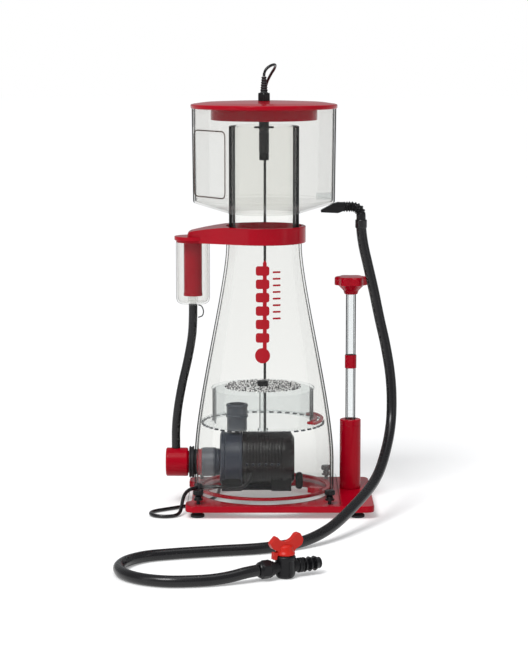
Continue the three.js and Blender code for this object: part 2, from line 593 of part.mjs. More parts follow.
// ---- Drain valve at the end of the hose --------------------------------------------------------

const valve = groupAt(VALVE.x, VALVE.y);
valve.rotation.z = VALVE.turn;
part('valve_body', carve(turned([
  [0, 0.2], [9, 0.2], [VALVE.r - 0.8, 3], [VALVE.r, 6], [VALVE.r, VALVE.top - 2], [9.5, VALVE.top], [0, VALVE.top],
]), { joins: [tubeX(7.2, 0, -19.4, 19.4).translate(0, 0, VALVE.z)] }), BLACK, valve);
part('valve_nut', turnedX([
  [0, -36], [8.4, -36], [9.6, -34], [11.4, -32], [11.4, -21.4], [10.4, -19.8], [0, -19.8],
], 6).translate(0, 0, VALVE.z), BLACK, valve);

const ribs = [24, 31, 38].flatMap((x) => [[9, x], [6.6, x + 5]]);
part('valve_barb', turnedX([
  [3.6, 19.8], [8.6, 19.8], [6.6, 23], ...ribs, [7.6, 46.5], [3.6, 46.5], [3.6, 19.8],
], 12).translate(0, 0, VALVE.z), BLACK, valve);

// Two wings over a round hub, and a stop lug on the left.
function valveHandle() {
  const wings = new THREE.Shape();
  wings.moveTo(-9.6, 28);
  wings.lineTo(9.6, 28);
  wings.lineTo(11, 33);
  wings.lineTo(21.5, 39);
  wings.quadraticCurveTo(23.4, 46, 17.5, 53);
  wings.lineTo(13, 53);
  wings.quadraticCurveTo(8, 44, 0, 43.2);
  wings.quadraticCurveTo(-8, 44, -14, 52);
  wings.lineTo(-21.5, 43);
  wings.lineTo(-18, 36);
  wings.lineTo(-11, 33);
  wings.closePath();
  const deep = { depth: 8, bevelEnabled: false, curveSegments: 5 };
  const plate = new THREE.ExtrudeGeometry(wings, deep).rotateX(Math.PI / 2).translate(0, 4, 0);
  const hub = tube(11, 0, VALVE.top + GAP, 32);
  const lug = box(5, 7, 9, -14.6, 0, 27.8);
  const bridge = box(8, 7, 3, -12, 0, 30.5);
  return carve(hub, { joins: [plate, bridge, lug] });
}
part('valve_handle', valveHandle(), VALVE_RED, valve);

export default skimmer;
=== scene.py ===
"""The looks of an in-sump protein skimmer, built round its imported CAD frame.

Shapes are worked out in millimetres from the body's axis, as the part's source does, and `build` turns
them into metres in the row frame. A shape is a pair: its points, and faces that index them.
"""

import math

import bmesh
import bpy
import numpy as np
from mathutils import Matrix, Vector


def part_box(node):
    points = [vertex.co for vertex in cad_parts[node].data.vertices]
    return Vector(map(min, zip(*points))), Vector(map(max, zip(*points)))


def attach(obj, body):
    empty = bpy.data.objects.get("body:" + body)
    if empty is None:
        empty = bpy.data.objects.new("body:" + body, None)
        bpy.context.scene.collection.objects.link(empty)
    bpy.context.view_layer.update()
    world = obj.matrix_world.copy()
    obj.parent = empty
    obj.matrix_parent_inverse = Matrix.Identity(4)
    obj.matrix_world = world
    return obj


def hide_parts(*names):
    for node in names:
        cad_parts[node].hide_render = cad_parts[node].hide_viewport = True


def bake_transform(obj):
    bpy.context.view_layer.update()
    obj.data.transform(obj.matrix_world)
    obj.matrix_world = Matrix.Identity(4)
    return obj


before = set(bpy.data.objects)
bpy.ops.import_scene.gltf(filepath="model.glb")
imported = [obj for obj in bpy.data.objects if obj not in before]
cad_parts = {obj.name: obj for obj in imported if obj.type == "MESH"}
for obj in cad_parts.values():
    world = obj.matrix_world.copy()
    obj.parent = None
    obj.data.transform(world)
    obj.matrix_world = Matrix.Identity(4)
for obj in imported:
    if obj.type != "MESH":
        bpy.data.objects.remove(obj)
# A line of sight crosses more clear walls here than the renderer follows by default.
TRANSPARENT_WALLS = 32
bpy.context.scene.cycles.transparent_max_bounces = TRANSPARENT_WALLS
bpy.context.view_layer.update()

MM = 0.001
BODY_LOW, BODY_HIGH = (np.array(corner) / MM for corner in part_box("body_shell"))
AXIS_X = (BODY_LOW[0] + BODY_HIGH[0]) / 2
FLOOR_Z = BODY_LOW[2]
PLATE_Z = 17.3
PIPE_Z = 57.7
PUMP_Z = 62.5
BODY_R = 94.5
NECK_R = 50.6


# ---- Camera, light and floor ---------------------------------------------------------------

CAMERA_BACK = 2.9
CAMERA_HIGH = 0.63
CAMERA_DOWN = 7.692
LENS = 118.4


def srgb(code):
    """The linear colour of an sRGB hex value."""
    part = np.array([int(code[i : i + 2], 16) for i in (1, 3, 5)]) / 255
    linear = np.where(part <= 0.04045, part / 12.92, ((part + 0.055) / 1.055) ** 2.4)
    return (*linear.tolist(), 1.0)


def node(tree, kind, sockets=None, **settings):
    """Adds a node, sets its properties, and fills its sockets with values or links them to other sockets."""
    made = tree.nodes.new("ShaderNode" + kind)
    for key, value in settings.items():
        setattr(made, key, value)
    for key, value in (sockets or {}).items():
        if isinstance(value, bpy.types.NodeSocket):
            tree.links.new(value, made.inputs[key])
        else:
            made.inputs[key].default_value = value
    return made


def add_camera():
    """A long lens, level across, that looks down a little."""
    camera = bpy.data.objects.new("camera", bpy.data.cameras.new("camera"))
    bpy.context.scene.collection.objects.link(camera)
    camera.location = (AXIS_X * MM, -CAMERA_BACK, CAMERA_HIGH)
    camera.rotation_euler = (math.radians(90 - CAMERA_DOWN), 0, 0)
    camera.data.lens = LENS
    camera.data.sensor_width = 36
    camera.data.clip_end = 200
    bpy.context.scene.camera = camera


def add_light(name, kind, place, target, power, size, colour="#FFFFFF"):
    """A lamp at place that faces target. size is the sun's angle in degrees, or a panel's two sides in
    metres."""
    data = bpy.data.lights.new(name, kind)
    data.energy = power
    data.color = srgb(colour)[:3]
    if kind == "SUN":
        data.angle = math.radians(size)
    else:
        data.shape = "RECTANGLE"
        data.size, data.size_y = size
    lamp = bpy.data.objects.new(name, data)
    bpy.context.scene.collection.objects.link(lamp)
    lamp.location = place
    way = np.array(target, float) - np.array(place, float)
    flat = math.hypot(way[0], way[1])
    lamp.rotation_euler = (math.atan2(flat, -way[2]), 0, math.atan2(way[1], way[0]) - math.pi / 2)


def add_room():
    """A white room: the camera sees plain white, and everything else is lit by a softer grey."""
    world = bpy.data.worlds.new("white_room")
    bpy.context.scene.world = world
    world.use_nodes = True
    tree = world.node_tree
    tree.nodes.clear()
    seen = node(tree, "Background", {"Color": srgb("#FFFFFF"), "Strength": 1.0})
    around = node(tree, "Background", {"Color": srgb("#E9EBEE"), "Strength": 0.5})
    by_camera = node(tree, "LightPath").outputs["Is Camera Ray"]
    mix = node(tree, "MixShader", {0: by_camera, 1: around.outputs[0], 2: seen.outputs[0]})
    node(tree, "OutputWorld", {0: mix.outputs[0]})
    target = (0, 0, 0.3)
    add_light("key_sun", "SUN", (-1.2, -2.2, 3.2), (0, 0, 0), 2.4, 24)
    add_light("left_strip", "AREA", (-1.5, -1.3, 0.75), target, 2.4, (0.35, 1.5))
    add_light("right_strip", "AREA", (1.6, -1.0, 0.7), target, 2.0, (0.3, 1.4))
    add_light("top_panel", "AREA", (0.1, -0.5, 1.9), target, 6, (1.0, 0.8))


add_camera()
add_room()
bpy.context.scene.view_settings.view_transform = "Standard"


# ---- Surfaces ------------------------------------------------------------------------------


def rounded(points, cut=0.6, steps=4):
    """A closed outline with soft corners: each corner is cut back along both its sides by `cut`, never past
    45% of a side, and a parabola with the corner as its control point bridges the gap."""
    p = np.asarray(points, float)
    cut = np.broadcast_to(np.asarray(cut, float), len(p))
    back, on = np.roll(p, 1, 0) - p, np.roll(p, -1, 0) - p
    back_long, on_long = np.linalg.norm(back, axis=1), np.linalg.norm(on, axis=1)
    reach = np.minimum(cut, 0.45 * np.minimum(back_long, on_long))
    a = p + back * (reach / np.maximum(back_long, 1e-9))[:, None]
    b = p + on * (reach / np.maximum(on_long, 1e-9))[:, None]
    t = np.linspace(0, 1, steps + 1)[None, :, None]
    bend = (1 - t) ** 2 * a[:, None] + 2 * t * (1 - t) * p[:, None] + t**2 * b[:, None]
    return bend.reshape(-1, 2)


def surface(grid, wrap_rows=True, wrap_columns=True):
    """A shape from a grid of points, its rows and columns joined end to end where they wrap, facing
    outwards."""
    rows, columns = grid.shape[:2]
    index = np.arange(rows * columns).reshape(rows, columns)
    r = np.arange(rows if wrap_rows else rows - 1)
    c = np.arange(columns if wrap_columns else columns - 1)
    here, under = index[r], index[(r + 1) % rows]
    right = (c + 1) % columns
    faces = np.stack([here[:, c], here[:, right], under[:, right], under[:, c]], -1).reshape(-1, 4)
    points = grid.reshape(-1, 3)
    corner = points[faces]
    volume = np.einsum("ij,ij->i", corner[:, 0], np.cross(corner[:, 1], corner[:, 2])).sum()
    volume += np.einsum("ij,ij->i", corner[:, 0], np.cross(corner[:, 2], corner[:, 3])).sum()
    return points, faces if volume > 0 else faces[:, ::-1]


def turned(profile, cut=0.5, sides=96, centre=(0, 0, 0), axis="Z", section=None, zone=(-1e9, 1e9), steps=4):
    """A solid of revolution: the rounded profile of (radius, height) pairs carried round the axis. Within the
    zone of heights, section(angle) multiplies the radius, which makes flutes, lobes and flats."""
    outline = rounded(profile, cut, steps)
    angle = np.linspace(0, 2 * np.pi, sides, endpoint=False)
    radius = np.repeat(outline[:, :1], sides, 1)
    height = np.repeat(outline[:, 1:], sides, 1)
    if section is not None:
        inside = (height > zone[0]) & (height < zone[1])
        radius = np.where(inside, radius * section(angle)[None, :], radius)
    across, along = radius * np.cos(angle), radius * np.sin(angle)
    grid = np.stack([height, across, along] if axis == "X" else [across, along, height], -1)
    return surface(grid + np.asarray(centre, float))


def flutes(count, depth):
    """A section of `count` shallow waves, the deepest cut to 1 - depth."""
    return lambda angle: 1 - depth * (1 - np.cos(count * angle)) / 2


def flats(count):
    """A regular polygon's section, its corners on the full radius and slightly blunted."""
    half = np.pi / count
    shape = lambda angle: np.cos(half) / np.cos((angle + half) % (2 * half) - half)
    return lambda angle: np.minimum(shape(angle), 0.985)


def unit(vectors):
    """The vectors, each divided by its length."""
    return vectors / np.linalg.norm(vectors, axis=1)[:, None]


def outward(outline):
    """The unit normals of a closed outline that runs anticlockwise."""
    ahead = np.roll(outline, -1, 0) - np.roll(outline, 1, 0)
    return unit(np.stack([ahead[:, 1], -ahead[:, 0]], -1))


def plate(outline, low, high, cut=1.0, window=None):
    """A flat plate: the edge's quarter rounds carried along the outline, its faces ruled to the window, whose
    points match the outline's one by one, or to the middle point where there is none."""
    normal = outward(outline)
    turn = np.linspace(0, np.pi / 2, 4)
    rim = [(cut * (1 - np.cos(a)), high - cut * (1 - np.sin(a))) for a in turn[::-1]]
    rim += [(cut * (1 - np.cos(a)), low + cut * (1 - np.sin(a))) for a in turn]
    rows = [np.column_stack([outline - normal * d, np.full(len(outline), z)]) for d, z in rim]
    if window is None:
        middle = np.zeros_like(outline) + outline.mean(0)
        top, bottom = (np.column_stack([middle, np.full(len(outline), z)]) for z in (high, low))
        return surface(np.array([top, *rows, bottom]), wrap_rows=False)
    normal = outward(window)
    rows += [np.column_stack([window + normal * d, np.full(len(window), z)]) for d, z in rim[::-1]]
    return surface(np.array(rows))


def run_of(path):
    """The length from the path's start to each of its points."""
    return np.concatenate([[0], np.cumsum(np.linalg.norm(np.diff(path, axis=0), axis=1))])


def resampled(path, count):
    """The path as `count` points at equal steps of its length."""
    run = run_of(path)
    at = np.linspace(0, run[-1], count)
    return np.column_stack([np.interp(at, run, column) for column in np.transpose(path)])


def evenly(outline, count):
    """The closed outline as `count` points at equal steps of its length."""
    return resampled(np.vstack([outline, outline[:1]]), count + 1)[:-1]


def oblong(left, right, low, high):
    """The corners of a rectangle."""
    return [(left, low), (right, low), (right, high), (left, high)]


def polar(radius, angle, height):
    """Points at a radius, an angle and a height."""
    return np.stack(np.broadcast_arrays(radius * np.cos(angle), radius * np.sin(angle), height), -1)


def prism(outline, depth, plane="XZ", centre=(0, 0, 0)):
    """An outline carried straight across itself by depth, centred. The ends are single faces."""
    p = np.asarray(outline, float)
    order = {"XZ": (0, 2, 1), "XY": (0, 1, 2), "YZ": (1, 2, 0)}[plane]
    ends = []
    for side in (-1, 1):
        end = np.zeros((len(p), 3))
        end[:, order[0]], end[:, order[1]], end[:, order[2]] = p[:, 0], p[:, 1], side * depth / 2
        ends.append(end)
    points = np.vstack(ends)
    n = len(p)
    ring = np.arange(n)
    faces = [list(ring), list(ring[::-1] + n)]
    faces += np.stack([ring, ring + n, (ring + 1) % n + n, (ring + 1) % n], -1).tolist()
    fan = np.array([(face[0], face[i], face[i + 1]) for face in faces for i in range(1, len(face) - 1)])
    corner = points[fan]
    if np.einsum("ij,ij->i", corner[:, 0], np.cross(corner[:, 1], corner[:, 2])).sum() < 0:
        faces = [face[::-1] for face in faces]
    return points + np.asarray(centre, float), faces


def stations(route, step=2.0):
    """Points along the smooth curve through the route's points, a centripetal Catmull-Rom spline: each
    stretch is a cubic whose end slopes are weighed by the square roots of the distances between
    neighbouring points."""
    p = np.asarray(route, float)
    p = np.vstack([2 * p[0] - p[1], p, 2 * p[-1] - p[-2]])
    a, b, c, d = p[:-3], p[1:-2], p[2:-1], p[3:]
    gap = [np.sqrt(np.linalg.norm(y - x, axis=1))[:, None] for x, y in ((a, b), (b, c), (c, d))]
    out = ((b - a) / gap[0] - (c - a) / (gap[0] + gap[1]) + (c - b) / gap[1]) * gap[1]
    into = ((c - b) / gap[1] - (d - b) / (gap[1] + gap[2]) + (d - c) / gap[2]) * gap[1]
    t = np.linspace(0, 1, 24, endpoint=False)[None, :, None]
    b, c, out, into = b[:, None], c[:, None], out[:, None], into[:, None]
    cubic = b + out * t + (3 * (c - b) - 2 * out - into) * t**2 + (2 * (b - c) + out + into) * t**3
    fine = np.vstack([cubic.reshape(-1, 3), p[-2:-1]])
    return resampled(fine, max(8, int(run_of(fine)[-1] / step)) + 1)


def swept(path, radius, sides=20, upright=(0.31, 0.17, 0.93)):
    """A round tube: circles of the given radius, one number or one for each station, stand square to the
    path, and each end closes in a low dome at its middle."""
    ahead = unit(np.gradient(path, axis=0))
    side = unit(np.cross(np.asarray(upright), ahead))
    up = np.cross(ahead, side)
    radius = np.broadcast_to(np.asarray(radius, float), len(path))
    angle = np.linspace(0, 2 * np.pi, sides, endpoint=False)
    ring = side[:, None] * np.cos(angle)[None, :, None] + up[:, None] * np.sin(angle)[None, :, None]
    tube = path[:, None] + ring * radius[:, None, None]
    first, last = np.repeat(path[:1], sides, 0)[None], np.repeat(path[-1:], sides, 0)[None]
    return surface(np.concatenate([first, tube, last]), wrap_rows=False)


def joined(*shapes):
    """Several shapes as one."""
    points, faces, start = [], [], 0
    for p, f in shapes:
        points.append(p)
        faces += [[start + i for i in face] for face in f] if isinstance(f, list) else (f + start).tolist()
        start += len(p)
    return np.vstack(points), faces


def moved(shape, turn=0.0, shift=(0, 0, 0)):
    """The shape turned about Z, in radians, and then shifted."""
    c, s = math.cos(turn), math.sin(turn)
    points = shape[0] @ np.array([[c, s, 0], [-s, c, 0], [0, 0, 1]]) + np.asarray(shift, float)
    return points, shape[1]


def build(name, shape, material, nodes=(), body="frame", slot=None, bevel=0.0, crease=34):
    """Makes a piece of a shape: its doubles merged, its smooth shading broken at creases, riding on its body.
    Where no slot is named, the material's own is looked up, but no slot is given to the piece."""
    points, faces = shape
    mesh = bpy.data.meshes.new(name)
    points = (points + [AXIS_X, 0, 0]) * MM
    mesh.from_pydata(points.tolist(), [], faces if isinstance(faces, list) else faces.tolist())
    work = bmesh.new()
    work.from_mesh(mesh)
    bmesh.ops.remove_doubles(work, verts=work.verts, dist=2e-6)
    work.to_mesh(mesh)
    work.free()
    mesh.polygons.foreach_set("use_smooth", [True] * len(mesh.polygons))
    mesh.set_sharp_from_angle(angle=math.radians(crease))
    made = bpy.data.objects.new(name, mesh)
    bpy.context.scene.collection.objects.link(made)
    mesh.materials.append(material)
    if bevel:
        edge = made.modifiers.new("edge", "BEVEL")
        edge.width, edge.segments, edge.limit_method = bevel * MM, 3, "ANGLE"
        edge.angle_limit = math.radians(30)
    weigh = made.modifiers.new("weigh", "WEIGHTED_NORMAL")
    weigh.keep_sharp = True
    if body:
        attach(made, body)
    if nodes:
        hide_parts(*([nodes] if isinstance(nodes, str) else nodes))
    slot = slot or SLOT_OF.get(material.name)
    return made


def lathe(name, material, nodes, profile, *more, body="frame", bevel=0.0, crease=34, **options):
    """Makes a piece that is turned from its profile, with the rest of turned's arguments in their order."""
    shape = turned(profile, *more, **options)
    return build(name, shape, material, nodes, body, None, bevel, crease)


# ---- Materials -----------------------------------------------------------------------------


def fresh(name):
    """A new material with an empty tree, and its object coordinates in metres."""
    material = bpy.data.materials.new(name)
    material.use_nodes = True
    tree = material.node_tree
    tree.nodes.clear()
    return material, tree, node(tree, "TexCoord").outputs["Object"]


def speckle(tree, place, size_mm, detail=2.0):
    """Noise whose lumps are about size_mm across, from 0 to 1."""
    scale = 1 / (size_mm * MM)
    return node(tree, "TexNoise", {"Vector": place, "Scale": scale, "Detail": detail}).outputs["Fac"]


def between(tree, amount, low, high):
    """Turns 0 to 1 into low to high."""
    return node(tree, "MapRange", {"Value": amount, "To Min": low, "To Max": high}).outputs[0]


def blended(tree, amount, first, second):
    mix = node(tree, "Mix", {0: amount, 6: srgb(first), 7: srgb(second)}, data_type="RGBA")
    return mix.outputs[2]


def plastic(
    name, main, shade, rough, grain_mm=0.5, grain=0.04, wide_mm=30, metallic=0.0, shine=0.25, contrast=1.0
):
    """A moulded or extruded solid: a slow drift of colour, a fine grain that breaks up the gloss, and a faint
    orange-peel bump. grain_mm and wide_mm are the sizes of the grain and of the drift, and contrast stretches
    the drift about its middle."""
    material, tree, place = fresh(name)
    fine = speckle(tree, place, grain_mm)
    drift = between(tree, speckle(tree, place, wide_mm, 1.0), 0.5 - contrast / 2, 0.5 + contrast / 2)
    peel = speckle(tree, place, 6.0, 1.0)
    bump = node(tree, "Bump", {"Height": fine, "Distance": grain_mm * MM * 0.1, "Strength": grain})
    skin = {"Height": peel, "Distance": 0.0006, "Strength": 0.05, "Normal": bump.outputs[0]}
    waves = node(tree, "Bump", skin)
    look = {
        "Base Color": blended(tree, drift, main, shade),
        "Roughness": between(tree, fine, rough * 0.8, rough * 1.25),
        "Metallic": metallic,
        "Specular IOR Level": shine,
        "Normal": waves.outputs[0],
    }
    shader = node(tree, "BsdfPrincipled", look)
    node(tree, "OutputMaterial", {"Surface": shader.outputs[0]})
    return material


def clear(name, face, edge, start, end, gloss=0.01, grazing=0.2, rough=0.05):
    """Clear cast or moulded plastic, seen through without bending: it takes `face` from the light square
    on, and darkens to `edge` as it turns away between start and end of Facing, as a thick wall does, under
    a thin gloss. Level faces stay clear: the shade is weighed by 1 - z^2 of the normal."""
    material, tree, place = fresh(name)
    facing = node(tree, "LayerWeight", {"Blend": 0.5}).outputs["Facing"]
    turned_away = {"Value": facing, "From Min": start, "From Max": end}
    amount = node(tree, "MapRange", turned_away, interpolation_type="SMOOTHSTEP")
    normal = node(tree, "NewGeometry").outputs["Normal"]
    lean = node(tree, "SeparateXYZ", {0: normal}).outputs["Z"]
    level = node(tree, "Math", {0: lean, 1: lean}, operation="MULTIPLY").outputs[0]
    upright = node(tree, "Math", {0: 1.0, 1: level}, operation="SUBTRACT").outputs[0]
    shade = node(tree, "Math", {0: amount.outputs[0], 1: upright}, operation="MULTIPLY").outputs[0]
    through = node(tree, "BsdfTransparent", {"Color": blended(tree, shade, face, edge)})
    fine = speckle(tree, place, 4.0, 1.0)
    bump = node(tree, "Bump", {"Height": fine, "Distance": 0.0003, "Strength": 0.06})
    look = {
        "Base Color": srgb("#F4F6F6"),
        "Roughness": between(tree, fine, rough * 0.7, rough * 1.3),
        "Normal": bump.outputs[0],
    }
    shine = node(tree, "BsdfPrincipled", look)
    fresnel = node(tree, "Fresnel", {"IOR": 1.3})
    share = between(tree, fresnel.outputs[0], gloss, grazing)
    mix = node(tree, "MixShader", {0: share, 1: through.outputs[0], 2: shine.outputs[0]})
    node(tree, "OutputMaterial", {"Surface": mix.outputs[0]})
    return material


# Glossy injection-moulded acrylic, dyed deep red: even colour, wide soft reflections.
red_acrylic = plastic("moulded_red_acrylic", "#A00019", "#920016", 0.2, shine=0.12)
# The valve's handle is a softer, brighter plastic that scatters light below its skin.
red_nylon = plastic("moulded_red_nylon", "#BE1E10", "#AE160B", 0.36, grain=0.08)
# Black nylon fittings: satin, with the faint grain of a spark-eroded mould.
black_nylon = plastic("moulded_black_nylon", "#100F12", "#09090B", 0.32, grain_mm=0.8, grain=0.12)
# Extruded hose of soft black vinyl: smooth along its length, with long bright reflections.
black_vinyl = plastic("extruded_black_vinyl", "#100F12", "#09080A", 0.27, grain_mm=1.2, grain=0.06,
                      wide_mm=60, shine=0.4)
# Matt black rubber of the feet and seals, dusty in its pores.
black_rubber = plastic("moulded_black_rubber", "#1D1D1F", "#2A2A2C", 0.55, grain_mm=0.6, grain=0.2,
                       wide_mm=12)
# Blue-grey rigid vinyl, as on pipe fittings: satin, with soft highlights.
grey_vinyl = plastic("moulded_grey_vinyl", "#363B48", "#2C303B", 0.3, grain=0.08, shine=0.4)
# The motor is potted in black resin behind a ribbed shell. The brown in its colour is a painted reflection of
# the brown that the shell shows in its gloss.
motor_resin = plastic("potted_motor_resin", "#1B1615", "#0E0C0E", 0.24, wide_mm=26, shine=0.4)
# Ground stainless steel of the rotor's shaft.
ground_steel = plastic("ground_stainless_steel", "#C9CBCE", "#B8BABE", 0.22, metallic=1.0)
# Sintered ferrite magnet, dark grey and dull.
ferrite = plastic("sintered_ferrite", "#3A3B3E", "#2E2F32", 0.6, grain=0.3)
# Opaque red screen-printing ink.
red_ink = plastic("screen_printed_ink", "#9C0518", "#900415", 0.42, grain=0.1)

# Thin clear acrylic of the body: nearly colourless, with a hairline of shade at its turned edges.
clear_body = clear("blown_clear_acrylic", "#FAFAF9", "#3A3C3B", 0.74, 0.88, 0.008, 0.1)
clear_cup = clear("moulded_clear_acrylic", "#F8F8F7", "#38393D", 0.74, 0.88, 0.008, 0.12)
# Thick drawn tube: its wall bends the light away, so that each side shows as a dark band.
clear_thick = clear("drawn_acrylic_tube", "#FDFDFC", "#17131F", 0.57, 0.6, 0.006, 0.08)
clear_tube = clear("drawn_acrylic_pipe", "#FAFBFB", "#3A3A40", 0.28, 0.5)
clear_plate = clear("sawn_acrylic_plate", "#FBFCFC", "#9DA3A2", 0.6, 0.9, 0.004, 0.02)
clear_detail = clear("turned_acrylic", "#F8F9F9", "#2E2F34", 0.66, 0.84, 0.015, 0.14)
# The handle's folded lip is several walls deep. Its pinkish grey tint is a painted reflection of the red and
# grey parts about it, seen through those walls.
clear_edge = clear("folded_acrylic_lip", "#B9AFAB", "#4B403F", 0.3, 0.8, 0.01, 0.1)
# Milled slots show the saw's grey in the clear plate.
slot_edge = clear("milled_acrylic_slot", "#8E9095", "#2B2C31", 0.2, 0.8, 0.01, 0.1)
# The raw edges of drilled holes are frosted. The speckle of near-white and dark grey on them is painted
# glints and painted shade, for the light they scatter.
drilled_edge = plastic("drilled_acrylic_edge", "#2A2B2F", "#FFFFFF", 0.5, wide_mm=3, contrast=6)
# Smoked polycarbonate of the pump's saddle.
smoked = clear("smoked_polycarbonate", "#3E414A", "#15161B", 0.3, 0.95, 0.02, 0.12)

SLOTS = {
    "red_plastic": (red_acrylic, red_ink),
    "valve_red_plastic": (red_nylon,),
    "black_plastic": (black_nylon, motor_resin),
    "hose_rubber": (black_vinyl,),
    "soft_rubber": (black_rubber,),
    "grey_plastic": (grey_vinyl,),
    "smoked_plastic": (smoked,),
    "clear_acrylic": (
        clear_body, clear_cup, clear_thick, clear_tube, clear_plate, clear_detail,
        clear_edge, slot_edge, drilled_edge,
    ),
}
SLOT_OF = {material.name: slot for slot, group in SLOTS.items() for material in group}


# ---- Cords ---------------------------------------------------------------------------------

AIR_HOSE_R, DRAIN_HOSE_R, PUMP_CABLE_R, SENSOR_CABLE_R = 5.9, 6.9, 2.4, 1.9

AIR_HOSE = [
    [-95.4, 0, 273.6], [-95.6, 0, 256], [-97, 0, 232], [-102.5, 0, 200], [-110.5, 0, 165],
    [-116.4, 0, 132], [-119.2, 0, 104], [-119.4, 0, 77.4],
]
PUMP_CABLE = [
    [-18, -38.6, 50.6], [-19.4, -41.6, 43], [-24, -43.8, 36.2], [-31, -44.2, 31.6], [-39, -42.2, 29.8],
    [-48, -38, 29.8], [-57, -34.2, 29.8], [-66, -32.3, 29.8], [-75, -33.5, 29.8], [-84.5, -37.5, 29.8],
    [-92.4, -41, 29.8], [-100, -45.2, 28.2], [-105.8, -52.4, 23.6], [-108.6, -61.4, 16.6],
    [-109.8, -70.2, 9.4],
    [-112.2, -79.2, 4.4], [-117.1, -87.9, 2.8], [-125.9, -92.9, 2.7], [-136.1, -92.9, 2.7],
    [-144.9, -87.9, 2.7],
    [-149.9, -79.1, 2.7], [-149.9, -68.9, 2.7], [-144.9, -60, 2.7], [-132, -49.4, 2.7], [-115, -36.6, 2.7],
    [-97, -21.6, 2.7], [-81, -3, 2.7], [-69.6, 20, 2.7], [-64, 50, 2.7], [-62.8, 84, 2.7], [-63.6, 120, 2.7],
    [-63.8, 144, 2.7],
]
SENSOR_CABLE = [
    [0, 0, 578.1], [0.6, 0, 583], [3.4, 1, 588], [8, 4, 591.6], [12.5, 10, 593.2], [15, 19, 592.4],
    [14, 30, 588], [9.5, 41, 580.5], [5, 52, 571.5], [2.4, 64, 563], [1.4, 77, 556], [1.2, 90, 550.6],
    [1.2, 98.6, 546.2], [1.2, 103, 539.4], [1.2, 104, 530], [1.2, 104, 500], [1.2, 104, 400],
    [1.2, 104, 300], [1.2, 104, 200], [1.2, 104, 100], [1.2, 104.2, 40], [1.2, 105, 16], [1.2, 107.6, 7.6],
    [1.2, 112.4, 3.2], [1.2, 119.4, 2.2],
]
DRAIN_HOSE = [
    [130, 0, 385.7], [130.6, 0, 372], [133.5, -1, 352], [139, -2, 328], [147, -4, 294],
    [155, -6, 256], [163.5, -9, 218], [169.5, -13, 182], [171.6, -19, 150], [170, -32, 117], [161, -68, 84],
    [146, -112, 57], [114, -178, 34], [80, -231, 16.5], [46, -264, 8.4], [0, -290, 7.1], [-58, -305.6, 7.1],
    [-112, -320.5, 7.1], [-143, -333.3, 7.1], [-164.3, -357, 7.1], [-172, -388, 7.1], [-164.3, -419, 7.1],
    [-143, -443, 7.1], [-114, -455.2, 7.1], [-84, -454.6, 7.1], [-60, -449.4, 7.4], [-40, -442.6, 9],
    [-21, -434.5, 12], [-7.7, -427.4, 13],
]
PUMP_COIL = {"middle": (-31, 165), "mean": 28, "thick": 2 * PUMP_CABLE_R, "low": 2.7}
SENSOR_COIL = {"middle": (27, 136), "mean": 22, "thick": 2 * SENSOR_CABLE_R, "low": 2.2}
TURNS = 6.25
PLUG_Y = 197.8
PUMP_LEAD_END = [[-20, PLUG_Y, 11.4], [-9, PLUG_Y, 9.2], [1, PLUG_Y, 8]]
SENSOR_LEAD_END = [[31, 162.2, 9], [35.6, 163.8, 6.2], [40, 165.5, 4.2]]


def coil(middle, mean, thick, low):
    """A coil wound clockwise from its left side: three turns from the outside in, three on top of them from
    the inside out, and a quarter turn on top of those. Each turn eases into the next over its last
    eighth."""
    step = np.array([1, 0, -1, -1, 0, 1, 1.0])
    layer = np.array([0, 0, 0, 1, 1, 1, 2.0])
    turn = np.linspace(0, TURNS, int(TURNS * 40) + 1)
    whole = np.minimum(turn.astype(int), 6)
    ease = np.clip((turn - whole - 0.875) / 0.125, 0, 1)
    ease = ease * ease * (3 - 2 * ease)
    after = np.minimum(whole + 1, 6)
    radius = mean + thick * (step[whole] * (1 - ease) + step[after] * ease)
    height = low + thick * (layer[whole] * (1 - ease) + layer[after] * ease)
    angle = np.pi - 2 * np.pi * turn
    return polar(radius, angle, height) + [*middle, 0]


def in_row(path):
    """A path in millimetres from the body's axis as metres in the row frame."""
    return (np.asarray(path) + [AXIS_X, 0, 0]) * MM


pump_path = np.vstack([stations(PUMP_CABLE), coil(**PUMP_COIL)])
pump_path = np.vstack([pump_path, stations([pump_path[-1], *PUMP_LEAD_END])[1:]])
sensor_path = np.vstack([stations(SENSOR_CABLE), coil(**SENSOR_COIL)])
sensor_path = np.vstack([sensor_path, stations([sensor_path[-1], *SENSOR_LEAD_END])[1:]])
air_path = stations(AIR_HOSE)
drain_path = stations(DRAIN_HOSE, 3.0)


# ---- Drain valve, plug and connector -------------------------------------------------------

VALVE_PLACE = (25, -410, 0)
VALVE_TURN = math.radians(28)
VALVE_Z = 13
VALVE_R = 12
VALVE_TOP = 27.5


def at_valve(shape):
    return moved(shape, VALVE_TURN, VALVE_PLACE)


def valve_body():
    """A vertical barrel with one rib, across a short level pipe with thickened shoulders."""
    barrel = [(0, 0.3), (9, 0.3), (11.2, 3), (VALVE_R, 6), (VALVE_R, 21), (12.4, 21.6), (12.4, 25.6),
              (10.4, VALVE_TOP), (0, VALVE_TOP)]
    pipe = [(0, -19.4), (8.6, -19.4), (8.6, -16.4), (7.2, -15.6), (7.2, 15.6), (8.8, 16.4), (8.8, 19.4),
            (0, 19.4)]
    rib = prism(rounded(oblong(-1.1, 1.1, 3, 21.4), 0.3), 2 * (VALVE_R + 0.5))
    return joined(turned(barrel, 0.8, 64), turned(pipe, 0.4, 48, (0, 0, VALVE_Z), "X"), rib)


def valve_nut():
    """A hexagon nut between two round steps that narrow towards the hose."""
    profile = [(0, -36), (8.2, -36), (9.4, -34.2), (9.4, -32.6), (11.6, -31.4), (11.6, -22.6), (10.2, -21.4),
               (10.2, -19.8), (0, -19.8)]
    return turned(profile, 0.5, 96, (0, 0, VALVE_Z), "X", flats(6), (-32, -22))


